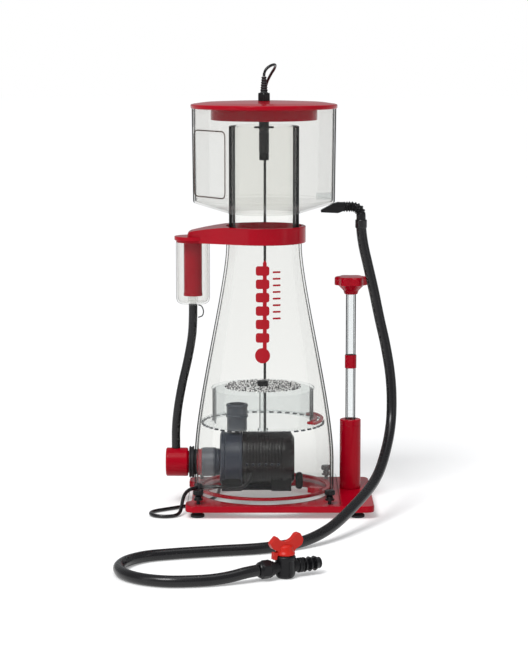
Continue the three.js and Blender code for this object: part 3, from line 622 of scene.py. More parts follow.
def valve_barb():
    """Three sharp-backed ribs that taper towards the open end."""
    ribs = [(x, r) for start in (24.5, 31.5, 38.5) for x, r in ((start, 6.2), (start, 9), (start + 5, 6.6))]
    profile = [(3.6, 19.8), (8.8, 19.8), (8.8, 22), (6.4, 23)] + [(r, x) for x, r in ribs]
    profile += [(6.8, 45.4), (6.2, 46.5), (3.6, 46.5)]
    return turned(profile, 0.35, 64, (0, 0, VALVE_Z), "X")


def valve_handle():
    """Two wings with a dished top on a flared hub, and a stop lug that hangs beside the barrel."""
    wings = [(-9.8, 28.2), (9.8, 28.2), (11.4, 33.4), (20.8, 38.4), (22.4, 45), (17.8, 53), (12.6, 52.4),
             (8, 46.6), (0, 43.2), (-8, 46), (-13.2, 51.6), (-21.4, 43.4), (-18.6, 37), (-11.4, 33.4)]
    hub = [(0, 27.8), (11, 27.8), (11.6, 28.6), (11.6, 30), (10, 32.6), (8.6, 38), (6, 40), (0, 40)]
    lug = [(-17.2, 23.4), (-12.6, 23.4), (-12, 27.8), (-8, 28.4), (-8, 32), (-16.6, 32)]
    return joined(
        prism(rounded(wings, 2.2, 5), 7.6), turned(hub, 0.6, 64), prism(rounded(lug, 1.0, 3), 6.6)
    )


def pump_plug():
    """A flat two-pin plug with a ribbed strain relief."""
    grip = [(6, 0.9), (28, 0.9), (28, 13.5), (24, 13.7), (10, 12.6), (6, 10.6)]
    relief = [(0, 1), (3.2, 1), (3.6, 2.4), (3.1, 2.8), (3.9, 4.6), (3.4, 5), (4.4, 7), (4.4, 9), (0, 9)]
    pin = [(0, 26), (2, 26), (2, 34.6), (1.2, 36), (0, 36)]
    pins = [turned(pin, 0.3, 20, (0, y, 7.2), "X") for y in (193.6, 202)]
    block = prism(rounded(grip, 1.4, 4), 14.6, centre=(0, PLUG_Y, 0))
    return joined(block, turned(relief, 0.3, 32, (0, PLUG_Y, 8), "X"), *pins)


nut = build("drain_valve_nut", at_valve(valve_nut()), black_nylon, "valve_nut")
barrel = build("drain_valve_body", at_valve(valve_body()), black_nylon, "valve_body", crease=40)
barb = build("drain_valve_barb", at_valve(valve_barb()), black_nylon, "valve_barb", crease=50)
handle = build(
    "drain_valve_handle", at_valve(valve_handle()), red_nylon, "valve_handle", body="valve_handle", bevel=0.7
)
plug = build("pump_cable_plug", pump_plug(), black_nylon, "pump_plug", bevel=0.5)
# A small round connector: ribbed grip, collar and shell.
connector = lathe(
    "sensor_cable_connector", black_nylon, "sensor_connector", [(0, 40), (2.4, 40), (3.4, 43),
    (3.9, 44.6), (3.9, 53), (3.2, 53.6), (3.2, 58), (2.4, 58), (2.4, 55), (0, 55)], 0.3, 48,
    (0, 165.5, 4.2), "X", flutes(14, 0.08), (44.5, 53.2),
)


def flexible(name, path, radius, nodes, slot=None, body="frame", **facts):
    """A cord of black vinyl, swept along its path."""
    made = build(name, swept(path, radius), black_vinyl, nodes, body, slot, crease=60)
    return made


drain_hose = flexible(
    "drain_hose_tube", drain_path, DRAIN_HOSE_R, "drain_hose", body=None,
    far_end="fitting", stiffness="medium", lay="loose", with_pieces=[nut, barrel, barb, handle],
)
start, end = in_row([[131, 0, 380], [172, -20, 150]]).tolist()
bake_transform(drain_hose)

flexible(
    "pump_power_cable", pump_path, PUMP_CABLE_R, ("pump_cable", "pump_coil"), "soft_rubber",
    far_end="plug", stiffness="medium", lay="coiled", with_pieces=[plug],
)
sensor_cable = flexible(
    "sensor_lead", sensor_path, SENSOR_CABLE_R, ("sensor_cable", "sensor_coil"), "soft_rubber", None,
    far_end="connector", stiffness="limp", lay="coiled", with_pieces=[connector],
)
start, end = in_row([[1, 98, 546], [1, 104, 120]]).tolist()
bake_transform(sensor_cable)


def hose_tie():
    """A thin loop of cord that hangs beside the air hose's top."""
    loop = [[-88.4, 0, 272.5], [-84.4, 0, 271], [-81.6, 0, 264.4], [-83, 0, 258], [-88.6, 0, 255.5]]
    return swept(stations(loop, 0.8), 0.8, 10, (0, 1, 0))


tie = build("air_hose_tie", hose_tie(), black_vinyl, "hose_tie")
flexible(
    "air_hose_tube", air_path, AIR_HOSE_R, "air_hose",
    far_end="object", stiffness="medium", lay="hanging", with_pieces=[tie],
)


# ---- Base ----------------------------------------------------------------------------------

BASE = {"left": -104, "right": 146, "half": 99, "low": 8.3, "high": 17, "window": 86}
SCREW = {"x": 87, "y": 84, "head": 6.9}
RIMS = 480


def base_frame():
    """The red tray: a rounded oblong with a round window and a shallow scoop in its left side."""
    left, right, half = BASE["left"], BASE["right"], BASE["half"]
    scoop = 7
    points = [(left, -half), (right, -half), (right, half), (left, half), (left, 66), (left + scoop, 60),
              (left + scoop, -60), (left, -66)]
    outline = evenly(rounded(points, [12, 12, 12, 12, 3, 3, 3, 3], 10), RIMS)
    angle = np.arctan2(outline[:, 1], outline[:, 0])
    window = BASE["window"] * np.column_stack([np.cos(angle), np.sin(angle)])
    return plate(outline, BASE["low"], BASE["high"], 1.6, window)


def base_plate():
    """The clear square plate with round corners."""
    half = 101
    outline = evenly(rounded(oblong(-half, half, -half, half), 12, 10), RIMS)
    return plate(outline, PLATE_Z, PLATE_Z + 5, 0.7)


def thumbscrew():
    """A waisted screw with a fluted head, standing on a washer."""
    z, head = FLOOR_Z, SCREW["head"]
    profile = [(0, 9.4), (2.4, 9.4), (2.4, z), (6.2, z), (6.2, z + 1.8), (4.4, z + 2.6), (4.8, z + 4.6),
               (3.2, z + 6.4),
               (head - 0.6, z + 7.2), (head, z + 8), (head, z + 12.6), (head - 1, z + 13.4), (0, z + 13.4)]
    return turned(profile, 0.5, 72, section=flutes(18, 0.09), zone=(z + 7.6, z + 13))


def foot():
    """A rubber foot: a broad tread below a narrower neck."""
    return turned([(0, 0), (8.6, 0), (9.3, 0.8), (9.3, 3.2), (7.4, 4.8), (6, 5.6), (6, 8), (0, 8)], 0.6, 64)


build("base_frame_tray", base_frame(), red_acrylic, "base_frame")
build("base_clear_plate", base_plate(), clear_plate, "base_plate")
for end, y in (("front", -SCREW["y"]), ("rear", SCREW["y"])):
    for side, x, foot_x in (("left", -SCREW["x"], -88), ("right", SCREW["x"], 124)):
        corner = f"{end}_{side}"
        build(
            f"screw_{corner}", moved(thumbscrew(), 0, (x, y, 0)), black_nylon, f"thumbscrew_{corner}",
            body=f"thumbscrew_{corner}",
        )
        build(f"rubber_foot_{corner}", moved(foot(), 0, (foot_x, y, 0)), black_rubber, f"foot_{corner}")


# ---- Body ----------------------------------------------------------------------------------


def body_radius(height):
    """The bottle's radius at a height: straight to 60 mm, then a cubic curve up to the neck, found by its
    height."""
    t = np.linspace(0, 1, 200)[:, None]
    control = np.array([(BODY_R, 60), (BODY_R, 134), (53.2, 290), (NECK_R, 350)])
    share = np.hstack([(1 - t) ** 3, 3 * t * (1 - t) ** 2, 3 * t**2 * (1 - t), t**3])
    curve = share @ control
    return np.interp(height, curve[:, 1], curve[:, 0])


def body_shell():
    """The bottle: its outline and the same outline 3 mm further in, joined at foot and mouth."""
    high = 378
    heights = np.concatenate([[FLOOR_Z, FLOOR_Z + 4], np.linspace(60, 350, 60), [high - 1, high]])
    outer = np.column_stack([body_radius(heights), heights])
    inner = (outer - [3, 0])[::-1]
    return turned(np.vstack([outer, inner]), 0.3, 128, steps=1)


def body_ring():
    """The foot ring inside the bottle, with a square lug that reaches inwards at its front right."""
    low = FLOOR_Z
    ring = turned(oblong(84.7, 91.2, low, low + 3.6), 0.8, 128)
    lug = prism(rounded(oblong(68.6, 86, low, low + 7.4), 0.8), 9)
    return joined(ring, moved(lug, math.radians(-28)))


build("body_bottle", body_shell(), clear_body, "body_shell")
build("body_foot_ring", body_ring(), red_acrylic, "body_ring", crease=40)


INK_GAP = 0.08


def on_bottle(outline, thick=0.3):
    """A thin patch of ink on the front of the bottle: each row of the outline, (height, left, right), is bent
    round the wall and stands `thick` proud of it."""
    rows = np.asarray(outline, float)
    share = np.linspace(0, 1, 9)
    x = rows[:, 1:2] * (1 - share) + rows[:, 2:3] * share
    z = np.repeat(rows[:, :1], len(share), 1)
    layers = []
    for out in (INK_GAP, INK_GAP + thick):
        radius = body_radius(z) + out
        angle = x / radius - np.pi / 2
        layers.append(polar(radius, angle, z))
    back, front = layers
    return surface(np.concatenate([front, back[:, ::-1]], 1), wrap_rows=False)


def bar_rows(middle_x, middle_z, width, height, corner):
    """The rows of a bar with round corners."""
    z = np.linspace(-1, 1, 13)
    z = np.sign(z) * (1 - (1 - np.abs(z)) ** 1.6) * height / 2
    over = np.clip(np.abs(z) - (height / 2 - corner), 0, corner)
    half = width / 2 - corner + np.sqrt(np.maximum(corner**2 - over**2, 1e-3))
    return np.column_stack([middle_z + z, middle_x - half, middle_x + half])


def printed_scale():
    """A plain printed level scale: a column of round-cornered bars on a narrow spine that ends in a dot,
    and thin dashes beside it."""
    bars = [bar_rows(-1.9, 237 + 17.4 * i, 18, 12.4, 3) for i in range(6)]
    dot = [bar_rows(-1.9, 214, 20, 20, 9.99)]
    dashes = [bar_rows(17, 262 + 8.6 * i, 11, 2.4, 1.1) for i in range(8)]
    spine = [bar_rows(1.0, 276, 5.2, 124, 2.5)]
    raised = [on_bottle(rows, 0.4) for rows in bars + dot + dashes]
    return joined(*[on_bottle(rows) for rows in spine], *raised)


build("printed_level_scale", printed_scale(), red_ink, crease=50)


# ---- Inlet: venturi, gasket and pump inlet -------------------------------------------------

lathe(
    "venturi_fitting", red_acrylic, "venturi_body", [(11, -133), (17.6, -133), (19.4, -131.6),
    (19.4, -104.6), (18.6, -103), (15, -103), (15, -71), (11, -71)], 0.9, 96, (0, 0, PIPE_Z), "X",
)
lathe(
    "wall_seal", black_rubber, "wall_gasket", [(15.3, -101.4), (20.8, -101.4), (21.6, -100.4),
    (21.6, -99.6), (20.4, -99), (20.4, -97.4), (21.6, -96.8), (21.6, -95.4), (20.6, -94.9), (17, -94.9),
    (17, -91), (15.3, -91)], 0.4, 96, (0, 0, PIPE_Z), "X",
)
lathe(
    "wall_lock_ring", red_acrylic, (), [(15.3, -90.7), (18.6, -90.7), (18.6, -88.6), (17.4, -88),
    (17.4, -86), (18.6, -85.4), (18.6, -84.4), (15.3, -84.4)], 0.3, 96, (0, 0, PIPE_Z), "X",
)
lathe(
    "pump_inlet_pipe", grey_vinyl, "pump_inlet", [(15.3, -84), (19, -84), (19.6, -82.6), (19.6, -66),
    (18.2, -64.6), (18.2, -60.6), (15.3, -59.8)], 0.7, 96, (0, 0, PIPE_Z), "X",
)

# ---- Pump ----------------------------------------------------------------------------------

PUMP_R = 37
MOTOR_LEFT, MOTOR_RIGHT = -29, 41
PUMP_AXIS = (0, 0, PUMP_Z)


def motor():
    """A drum with turned grooves round it, a smooth darker end with a stepped edge, and the rotor's blind
    well."""
    groove = np.array([(0, 0), (0, 2.6), (-1.3, 3.1), (-1.3, 3.7)])
    grooves = [(PUMP_R + r, start + x) for start in np.arange(-26, 21, 4.2) for r, x in groove]
    profile = [(0, 27), (12, 27), (12, MOTOR_LEFT), (PUMP_R - 0.8, MOTOR_LEFT),
               (PUMP_R, MOTOR_LEFT + 1)] + grooves
    profile += [(PUMP_R, 25), (PUMP_R, 29), (PUMP_R - 2.6, 37.4), (PUMP_R - 8, MOTOR_RIGHT), (0, MOTOR_RIGHT)]
    return turned(profile, 0.35, 128, PUMP_AXIS, "X", steps=2)


def terminal_dots():
    """A row of small sealed screw heads along the front of the motor."""
    heads = []
    for x in np.arange(-22.7, 20, 8.4):
        head = turned([(0, -1), (1.5, -1), (1.5, 0.4), (1, 0.8), (0, 0.8)], 0.3, 20)
        points = head[0][:, [0, 2, 1]] * [1, -1, 1]
        heads.append((points + [x, -PUMP_R + 0.2, PUMP_Z - 1.5], head[1]))
    return joined(*heads)


def cradle():
    """Two saddles that follow the drum's underside, joined by a low bridge, with feet on the plate."""
    seat_r = PUMP_R + 0.3
    low = FLOOR_Z
    half = 27
    y = np.linspace(-25, 25, 30)
    seat = np.column_stack([y, PUMP_Z - np.sqrt(seat_r**2 - y**2)])
    foot = [(half, low + 20), (half, low), (16, low), (13, low + 1.6), (-13, low + 1.6), (-16, low)]
    saddle = np.vstack([[(-half, low), (-half, low + 20)], seat, foot])
    ends = [prism(saddle, 27, "YZ", (x, 0, 0)) for x in (-43.4, 23.4)]
    bridge = prism(rounded(oblong(-half + 6, half - 6, low, low + 2.2), 0.8), 42, "YZ", (-10, 0, 0))
    return joined(*ends, bridge)


build("motor_block", motor(), motor_resin, "pump_motor", crease=40)
build("motor_screw_heads", terminal_dots(), grey_vinyl)
# A flat drum with a raised rim at its left, the inlet hole in its face and its right side open.
lathe(
    "pump_volute_drum", grey_vinyl, "pump_volute", [(14, -59.5), (33.5, -59.5), (PUMP_R, -57.6),
    (PUMP_R, -53.4), (PUMP_R - 1.4, -52.6), (PUMP_R - 1.4, -32.4), (PUMP_R, -31.8), (PUMP_R, -29.3),
    (33, -29.3), (33, -55.5), (14, -55.5)], 0.7, 128, PUMP_AXIS, "X",
)
build("pump_saddle", cradle(), smoked, "pump_cradle", bevel=0.6)
lathe(
    "pump_bumper_disc", smoked, "pump_bumper", [(0, 42.6), (8.8, 42.6), (9.5, 43.2), (11.5, 46), (11.5, 50),
    (9.6, 51.6), (8, 52.5), (5, 52.5), (4.4, 51.4), (0, 51.4)], 0.7, 96, (0, -14, FLOOR_Z + 12), "X",
)
RISER_X = -36.6
lathe("pump_riser_pipe", grey_vinyl, "pump_riser", oblong(11, 13.6, 101.5, 119.1), 0.5, 72, (RISER_X, 0, 0))
lathe(
    "pump_riser_cap", grey_vinyl, "riser_cap", [(11, 119.4), (15, 119.4), (15, 122.4), (14.2, 123),
    (14.2, 134), (15, 134.6), (15, 136.2), (13.6, 137.7), (11, 137.7)], 0.5, 72, (RISER_X, 0, 0),
)

# ---- Bubble plate --------------------------------------------------------------------------

CHAMBER = (-1.5, 0, 0)
CHAMBER_LOW, CHAMBER_HIGH = 113, 158
DISC_LOW = CHAMBER_HIGH + 0.3


def chamber():
    """A round skirt on a flange whose rim is scalloped all round."""
    low = CHAMBER_LOW
    profile = [(65.9, low), (82, low), (84, low + 0.6), (84, low + 2), (82, low + 2.6), (69.5, low + 2.6),
               (68.3, low + 3.8),
               (68.3, CHAMBER_HIGH - 1), (67.8, CHAMBER_HIGH), (65.9, CHAMBER_HIGH)]
    points, faces = turned(profile, 0.5, 640, steps=2)
    radius = np.hypot(points[:, 0], points[:, 1])
    angle = np.arctan2(points[:, 1], points[:, 0])
    share = np.clip((radius - 78) / 4, 0, 1) * (points[:, 2] < low + 3)
    factor = 1 - 0.03 * (0.5 - 0.5 * np.cos(80 * angle)) * share
    points = points * np.column_stack([factor, factor, np.ones_like(factor)]) + CHAMBER
    return points, faces


def disc_nozzles():
    """The perforations: a small tapered nozzle stands round each hole, on a hexagonal grid of pitch 4.2
    mm."""
    pitch, reach = 4.2, 52
    row, column = np.mgrid[-15:16, -15:16]
    x = (column + 0.5 * (row % 2)) * pitch
    y = row * pitch * math.sqrt(3) / 2
    far = np.hypot(x, y)
    keep = (far < reach) & (far > 11)
    places = np.column_stack([x[keep], y[keep], np.full(keep.sum(), DISC_LOW + 3)])
    nozzle, sides = turned([(0.4, 0), (1.2, 0), (0.8, 2.2), (0.4, 2.2)], 0.1, 8, steps=1)
    points = (nozzle[None] + places[:, None]).reshape(-1, 3)
    faces = (sides[None] + np.arange(len(places))[:, None, None] * len(nozzle)).reshape(-1, 4)
    return points + CHAMBER, faces


def bubble_disc():
    """The lid of the chamber, a thin disc with a soft rim."""
    low = DISC_LOW
    profile = [(4.9, low), (68.8, low), (69.6, low + 0.8), (69.6, low + 2.2), (68.8, low + 3), (4.9, low + 3)]
    return turned(profile, 0.5, 160, CHAMBER)


def plate_clip():
    """A flat latch bent round the skirt: an arc of 64 degrees with a slot along its middle."""
    reach, low = 0.56, CHAMBER_LOW + 2.9
    t = np.linspace(-reach, reach, 40)
    arc = lambda r, a: np.column_stack([r * np.cos(a), r * np.sin(a)])
    outline = np.vstack([arc(82, t), arc(69.3, t[::-1])])
    outline = evenly(rounded(outline, 1.6, 2), 240)
    s = np.linspace(-reach * 0.72, reach * 0.72, 40)
    slot = evenly(np.vstack([arc(78, s), arc(73.8, s[::-1])]), 240)
    first = lambda p, turn: np.argmin(np.abs(np.arctan2(p[:, 1], p[:, 0]) + turn) + np.hypot(*p.T) * 0.01)
    outline = np.roll(outline, -first(outline, reach), 0)
    slot = np.roll(slot, -first(slot, reach * 0.72), 0)
    return moved(plate(outline, low, low + 3.4, 0.7, slot), 0, CHAMBER)


def flange_dashes():
    """The inlet slots milled round the flange: 44 blocks, each an arc of 4.4 degrees, under the rim."""
    block = polar(np.array([83.4, 83.4, 80.2, 80.2]), np.array([-0.038, 0.038, 0.038, -0.038]), 0)[:, :2]
    dash = plate(evenly(rounded(block, 0.5, 2), 24), CHAMBER_LOW - 1.8, CHAMBER_LOW + 0.1, 0.3)
    return joined(*(moved(dash, turn, CHAMBER) for turn in np.arange(44) * 2 * math.pi / 44))


build("bubble_chamber_slots", flange_dashes(), slot_edge, crease=50)
build("bubble_chamber_skirt", chamber(), clear_detail, "bubble_chamber", crease=50)
build("bubble_plate_disc", bubble_disc(), clear_plate, "bubble_disc")
build("bubble_plate_nozzles", disc_nozzles(), drilled_edge)
lathe(
    "bubble_plate_stem", clear_tube, "bubble_stem", [(0, 101), (6.4, 101), (7, 101.6), (7, 103.6),
    (4.6, 104.2), (4.6, 162.8), (0, 162.8)], 0.4, 48, CHAMBER,
)
# A round cap with fluted sides.
lathe(
    "bubble_plate_knob", black_nylon, "bubble_knob", [(0, 164.2), (3, 164.2), (5.2, 163.4), (5.2, 161.6),
    (7.4, 161.6), (7.4, 168), (6.2, 169.4), (0, 169.4)], 0.5, 72, CHAMBER, section=flutes(12, 0.06),
    zone=(161.8, 168), body="bubble_knob",
)
build("bubble_plate_clip", plate_clip(), red_acrylic, "plate_clip")


# ---- Neck collar and silencer --------------------------------------------------------------

ARM = {"end": -102.5, "tip": 14, "slope": 0.465, "low": 357.4, "high": 379.6}
JAR_X, JAR_R = -95.4, 22.6


def quadratic(a, control, b, steps=8):
    """Points of a parabola from a to b, without the first."""
    t = np.linspace(0, 1, steps + 1)[1:, None]
    a, control, b = np.array(a, float), np.array(control, float), np.array(b, float)
    return (1 - t) ** 2 * a + 2 * t * (1 - t) * control + t**2 * b


def arm_top(x):
    """The arm's height: a short rise at its tip, a slope up to the right, then level with the ring."""
    low, high, end = ARM["low"], ARM["high"], ARM["end"]
    line = np.vstack([
        [(end, low + 11)], quadratic((end, low + 11), (end, low + 14), (end + 6, low + 15.5)),
        quadratic((end + 6, low + 15.5), (-74, high - 2), (-52, high), 10), [(0, high)],
    ])
    return np.interp(x, line[:, 0], line[:, 1])


def neck_collar():
    """The ring round the bottle's neck, and an arm between two lines tangent to it: a band from just inside
    the ring to the outline, its top rounded over at the edge, with a round cap under its end."""
    low, high, end, tip = ARM["low"], ARM["high"], ARM["end"], ARM["tip"]
    ring = turned([(50.9, low), (55.3, low), (56, low + 0.8), (56, high - 0.8), (55.3, high), (50.9, high)],
                  0.6, 160)
    root, seat = -24, 53
    wide = tip + (root - end) * ARM["slope"]
    plan = rounded([(root, wide), (end, tip), (end, -tip), (root, -wide), (60, 0)], [0, 7, 7, 0, 0], 8)
    plan = np.vstack([[(root, wide)], plan[plan[:, 0] < root - 0.5], [(root, -wide)]])
    outer = resampled(plan, 161)
    limit = math.acos(root / seat)
    angle = np.linspace(limit, 2 * np.pi - limit, len(outer))
    inner = seat * np.column_stack([np.cos(angle), np.sin(angle)])
    share = np.array([1, 1, 1, 0.985, 0.97, 0.8, 0.6, 0.4, 0.2, 0, 0])
    drop = np.array([0, -1, 0.8, 0.2, 0, 0, 0, 0, 0, 0, -1])
    spot = inner[:, None] * (1 - share)[None, :, None] + outer[:, None] * share[None, :, None]
    height = np.where(drop < 0, low, arm_top(spot[..., 0]) - np.abs(drop))
    height[:, 0] = low
    band = np.concatenate([spot, height[..., None]], -1)
    closing = [np.repeat(row.mean(0)[None, None], band.shape[1], 1) for row in (band[0], band[-1])]
    arm = surface(np.concatenate([closing[0], band, closing[1]]), wrap_rows=False)
    lip = [(0, low), (JAR_R, low), (JAR_R, low + 3), (24.8, low + 3), (24.8, low + 8.1), (0, low + 8.1)]
    cap = turned(lip, 0.8, 96, (JAR_X, 0, 0))
    return joined(ring, arm, cap)


def silencer_jar():
    """A jar with a rounded floor and the hose nipple up through it."""
    high = 357.1
    profile = [(4, 273.9), (16.6, 273.9), (21.2, 276.9), (JAR_R, 281.9), (JAR_R, high), (JAR_R - 2, high),
               (JAR_R - 2, 281.9),
               (17.6, 276.9), (6.6, 276.3), (6.6, 284.9), (4, 284.9)]
    return turned(profile, 1.2, 96, (JAR_X, 0, 0))


build("neck_collar_arm", neck_collar(), red_acrylic, "neck_collar", crease=40)
build("silencer_jar", silencer_jar(), clear_cup, "silencer_body")
# A sleeve with a thicker lip at its foot.
lathe(
    "silencer_sleeve", red_acrylic, "silencer_core", [(10.3, 285.2), (12.7, 285.2), (12.7, 288.4),
    (12.2, 289), (12.2, 357.1), (10.3, 357.1)], 0.3, 72, (JAR_X, 0, 0),
)

# ---- Water outlet --------------------------------------------------------------------------

OUTLET = (118, 25, 0)


def outlet_riser():
    """The red riser: a straight tube with a stepped mouth and a slightly wider foot."""
    low, high = PLATE_Z, 112.5
    profile = [(11.4, low), (14.4, low), (14.4, high - 8.4), (14, high - 8), (14.4, high - 7.6),
               (14.4, high - 1), (13.4, high),
               (7.1, high), (7.1, high - 6), (11.4, high - 6)]
    return turned(profile, 0.5, 96, OUTLET)


def outlet_knob():
    """A crown with six lobes over a skirt that widens upwards."""
    low = 284.3
    lobes = lambda angle: (20.8 + 1.6 * np.cos(6 * angle)) / 22.4
    profile = [(0, low), (8.6, low), (9.2, low + 1), (10.4, low + 5), (17.5, low + 12), (22.4, low + 12.4),
               (22.4, low + 22.2),
               (20.6, low + 24), (0, low + 24)]
    return turned(profile, 1.3, 144, OUTLET, section=lobes, zone=(low + 11, low + 30))


build("outlet_riser_pipe", outlet_riser(), red_acrylic, "outlet_riser")
lathe(
    "outlet_clear_tube", clear_tube, "outlet_tube", oblong(4.6, 6.8, 60, 284), 0.4, 72, OUTLET,
    body="outlet_pipe",
)
lathe(
    "outlet_red_band", red_acrylic, "outlet_band", oblong(7.1, 8, 183, 201), 0.3, 72, OUTLET,
    body="outlet_pipe",
)
build("outlet_lobed_knob", outlet_knob(), red_acrylic, "outlet_knob", body="outlet_knob")

# ---- Collection cup ------------------------------------------------------------------------

CUP_R, CUP_WALL, CUP_HIGH = 96.2, 2.6, 535.4
CUP_DRAFT = 1.4
CUP_LOW, CUP_NECK_LOW = 411, 396
CUP_NECK_R = 47.2
PANEL_TURN = math.radians(215.3)
PANEL_FAR, PANEL_HIGH = 87.6, 512


def cup_wall(inset):
    """A grid of the cup's wall and sloping floor, inset from its outer face: the radius is the drum's, or the
    panel plane's where that is nearer, up to the ledge at the panel's top."""
    sides = 480
    angle = np.linspace(0, 2 * np.pi, sides, endpoint=False)
    away = np.cos(angle - PANEL_TURN)
    flat = np.where(away > 0.3, (PANEL_FAR - inset) / np.maximum(away, 0.3), 1e9)
    ledge = PANEL_HIGH + inset
    heights = [CUP_HIGH, CUP_HIGH - 0.6, ledge + 0.7, ledge + 0.1, ledge - 0.6]
    heights += [*np.linspace(500, CUP_LOW + 3.4, 8)]
    heights += [CUP_LOW + 2, CUP_LOW + 0.8]
    rows = []
    for z in heights:
        full = CUP_R - inset - CUP_DRAFT * (CUP_HIGH - z) / (CUP_HIGH - CUP_LOW)
        full -= 0.5 * max(0, 1 - (z - CUP_LOW) / 2.4) ** 2
        radius = np.full(sides, full) if z > ledge else np.minimum(full, flat)
        rows.append(polar(radius, angle, z))
    edge = np.hypot(rows[-1][:, 0], rows[-1][:, 1])
    for share in (0.02, 0.3, 0.65, 1):
        radius = edge * (1 - share) + (CUP_NECK_R + 0.3) * share
        slope = (CUP_LOW - CUP_NECK_LOW) / (CUP_R - CUP_DRAFT - CUP_NECK_R)
        z = CUP_NECK_LOW + slope * (radius - CUP_NECK_R)
        rows.append(polar(radius, angle, z))
    grid = np.array(rows)
    if inset:
        grid[-5:, :, 2] += inset
        grid[-6, :, 2] = np.maximum(grid[-6, :, 2], CUP_LOW + inset)
    return grid


def cup_shell():
    outer, inner = cup_wall(0), cup_wall(CUP_WALL)
    return surface(np.concatenate([outer, inner[::-1]]))


def grip_frame():
    """A raised border round the grip panel: a rounded strip that follows a rounded oblong on the panel's
    plane."""
    half, low, high = 36, 421, 508
    outline = evenly(rounded(oblong(-half, half, low, high), 8, 8), 200)
    out = np.array([math.cos(PANEL_TURN), math.sin(PANEL_TURN), 0])
    level = np.array([-out[1], out[0], 0])
    path = out * (PANEL_FAR + 0.1) + outline[:, :1] * level + outline[:, 1:] * np.array([0, 0, 1])
    turn = np.linspace(0, 2 * np.pi, 10, endpoint=False)
    side = np.cross(out, unit(np.roll(path, -1, 0) - np.roll(path, 1, 0)))
    ring = side[:, None] * np.cos(turn)[None, :, None] * 0.9 + out * np.sin(turn)[None, :, None] * 0.7
    return surface(path[:, None] + ring)


def drain_elbow():
    """A wedge foot under the cup's corner, then a ridged run that turns down into the hose."""
    z = 404.8
    route = [[97.4, 0, z], [110, 0, z], [120, 0, z - 0.4], [126.6, 0, z - 3.4], [129.4, 0, z - 9],
             [130, 0, 386]]
    path = stations(route, 0.5)
    run = run_of(path)
    ridge = 0.8 * np.clip(np.cos(run * 2 * np.pi / 3.4) * 1.6, -1, 1)
    ease = np.clip((run - 9) / 2, 0, 1) * np.clip((run[-1] - 9 - run) / 2, 0, 1)
    pipe = swept(path, 6.3 + ridge * ease, 48, (0, 1, 0))
    side = [(76, 397.6), (99, 396.6), (108, 400), (108, 410), (99, 411), (92, 409), (76, 400.4)]
    return joined(pipe, prism(rounded(side, 1.0, 4), 12.4))


build("cup_wall", cup_shell(), clear_cup, "cup_shell", body="cup", crease=28)
build("cup_grip_border", grip_frame(), clear_edge, body="cup")
lathe(
    "neck_riser_tube", clear_thick, "neck_tube", [(42.4, 362), (46.9, 362), (46.9, 511.6), (45.6, 513),
    (43.6, 513), (42.4, 511.8)], 0.5, 160, body="cup",
)
lathe(
    "cup_drain_nipple", clear_detail, "drain_nipple", [(3.3, 70), (4.7, 70), (4.7, 88), (5.4, 88.6),
    (5.4, 90.4), (4.7, 91.4), (3.3, 91.4)], 0.3, 48, (0, 0, 419), "X", body="cup",
)
build("cup_drain_elbow", drain_elbow(), black_nylon, "drain_elbow", body="cup", crease=45)
# The hose's swollen end over the elbow's barb.
lathe(
    "drain_hose_cuff", black_vinyl, (), [(6.5, 376), (7.3, 376), (7.9, 377.4), (7.9, 386.6), (7.2, 387.6),
    (6.5, 387.6)], 0.5, 64, (130, 0, 0), body="cup",
)

# ---- Lid and level sensor ------------------------------------------------------------------

LID_R = 97.7


def sensor_relief():
    """A tapered strain relief with six ribs."""
    low, high = 556.6, 577.8
    z = np.linspace(low, high, 60)
    taper = 4.9 - 1.9 * (z - low) / (high - low)
    ribs = 0.45 * np.cos((z - low) * 2 * np.pi / 3.3)
    return turned([(0, low), *np.column_stack([taper + ribs, z]), (0, high)], 0.2, 48, steps=1)


# The lid: a low crown with a soft rim, and a round plug that reaches down into the cup.
lathe(
    "cup_lid", red_acrylic, "lid", [(7, 545.5), (50, 545.1), (80, 543.9), (94.6, 541.9), (97.2, 541.2),
    (LID_R, 540.2), (LID_R, 537), (97.1, 535.8), (71, 535.8), (71, 520.5), (68, 520.5), (68, 536.8),
    (7, 536.8)], 0.9, 192, body="lid", crease=40,
)
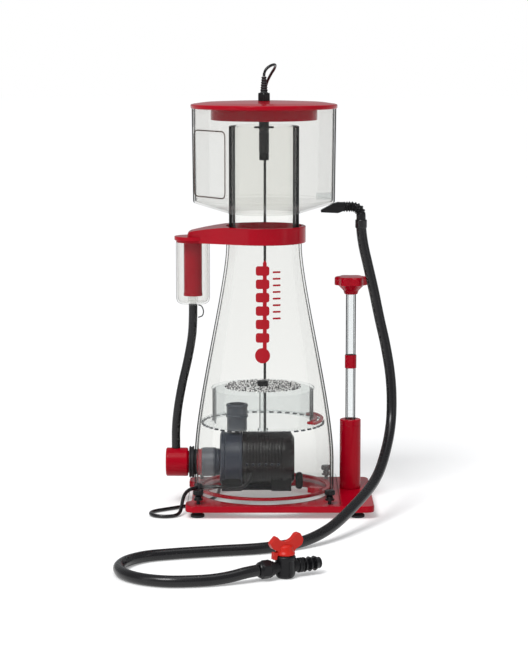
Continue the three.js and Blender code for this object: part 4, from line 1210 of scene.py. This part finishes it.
# A hexagon nut with a round top face.
lathe(
    "sensor_hex_nut", black_nylon, "sensor_nut", [(0, 545.8), (9, 545.8), (9, 554.4), (7.4, 556.3),
    (0, 556.3)], 0.4, 96, section=flats(6), zone=(545, 555.4), body="lid",
)
build("sensor_strain_relief", sensor_relief(), black_rubber, "sensor_relief", body="lid", crease=60)
lathe(
    "sensor_probe_rod", black_nylon, "sensor_rod", [(0, 476.5), (6.2, 476.5), (6.7, 477.4), (6.7, 505),
    (6.2, 505.4), (6.2, 506.4), (6.7, 506.8), (6.7, 545.5), (0, 545.5)], 0.3, 64, body="lid",
)
# The round guard of the probe's end.
lathe("sensor_probe_tip", smoked, "sensor_tip", oblong(4, 6.4, 467, 476.2), 0.4, 48, body="lid")
lathe(
    "sensor_splash_disc", smoked, "sensor_disc", [(7, 509.6), (12.8, 509.6), (13.3, 510.2), (13.3, 511.3),
    (12.8, 511.8), (7, 511.8)], 0.3, 72, body="lid",
)

GROMMET = {"x": -84.5, "y": -37.5, "z": 29.8}


def cable_grommet():
    """A rubber bush through the wall, wider outside it."""
    profile = [(2.7, 91.6), (5.4, 91.6), (5.4, 95.4), (6.9, 95.4), (6.9, 97.6), (3.7, 98.4), (2.7, 98.4)]
    return moved(turned(profile, 0.4, 48, (0, 0, GROMMET["z"]), "X"), math.atan2(GROMMET["y"], GROMMET["x"]))


build("cable_wall_grommet", cable_grommet(), black_rubber, "cable_grommet")

# ---- Hidden rotor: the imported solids, with materials of their own --------------------------

for hidden, material in (("rotor_shaft", ground_steel), ("rotor_magnet", ferrite), ("impeller", red_acrylic)):
    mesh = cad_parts[hidden].data
    mesh.materials.clear()
    mesh.materials.append(material)

# ---- Floor ---------------------------------------------------------------------------------


def floor():
    """A white table, faintly lit from within, 40 m across and 0.2 mm below the feet."""
    material, tree, place = fresh("white_painted_table")
    fine = speckle(tree, place, 3.0)
    look = {
        "Base Color": blended(tree, fine, "#E4E4E4", "#E1E1E1"),
        "Roughness": between(tree, fine, 0.85, 0.95),
        "Emission Color": srgb("#FFFFFF"),
        "Emission Strength": 0.25,
    }
    shader = node(tree, "BsdfPrincipled", look)
    node(tree, "OutputMaterial", {"Surface": shader.outputs[0]})
    half = 20000
    flat = np.array([(x, y, -0.2) for x, y in oblong(-half, half, -half, half)])
    build("table", (flat, [[0, 1, 2, 3]]), material, body=None)


floor()
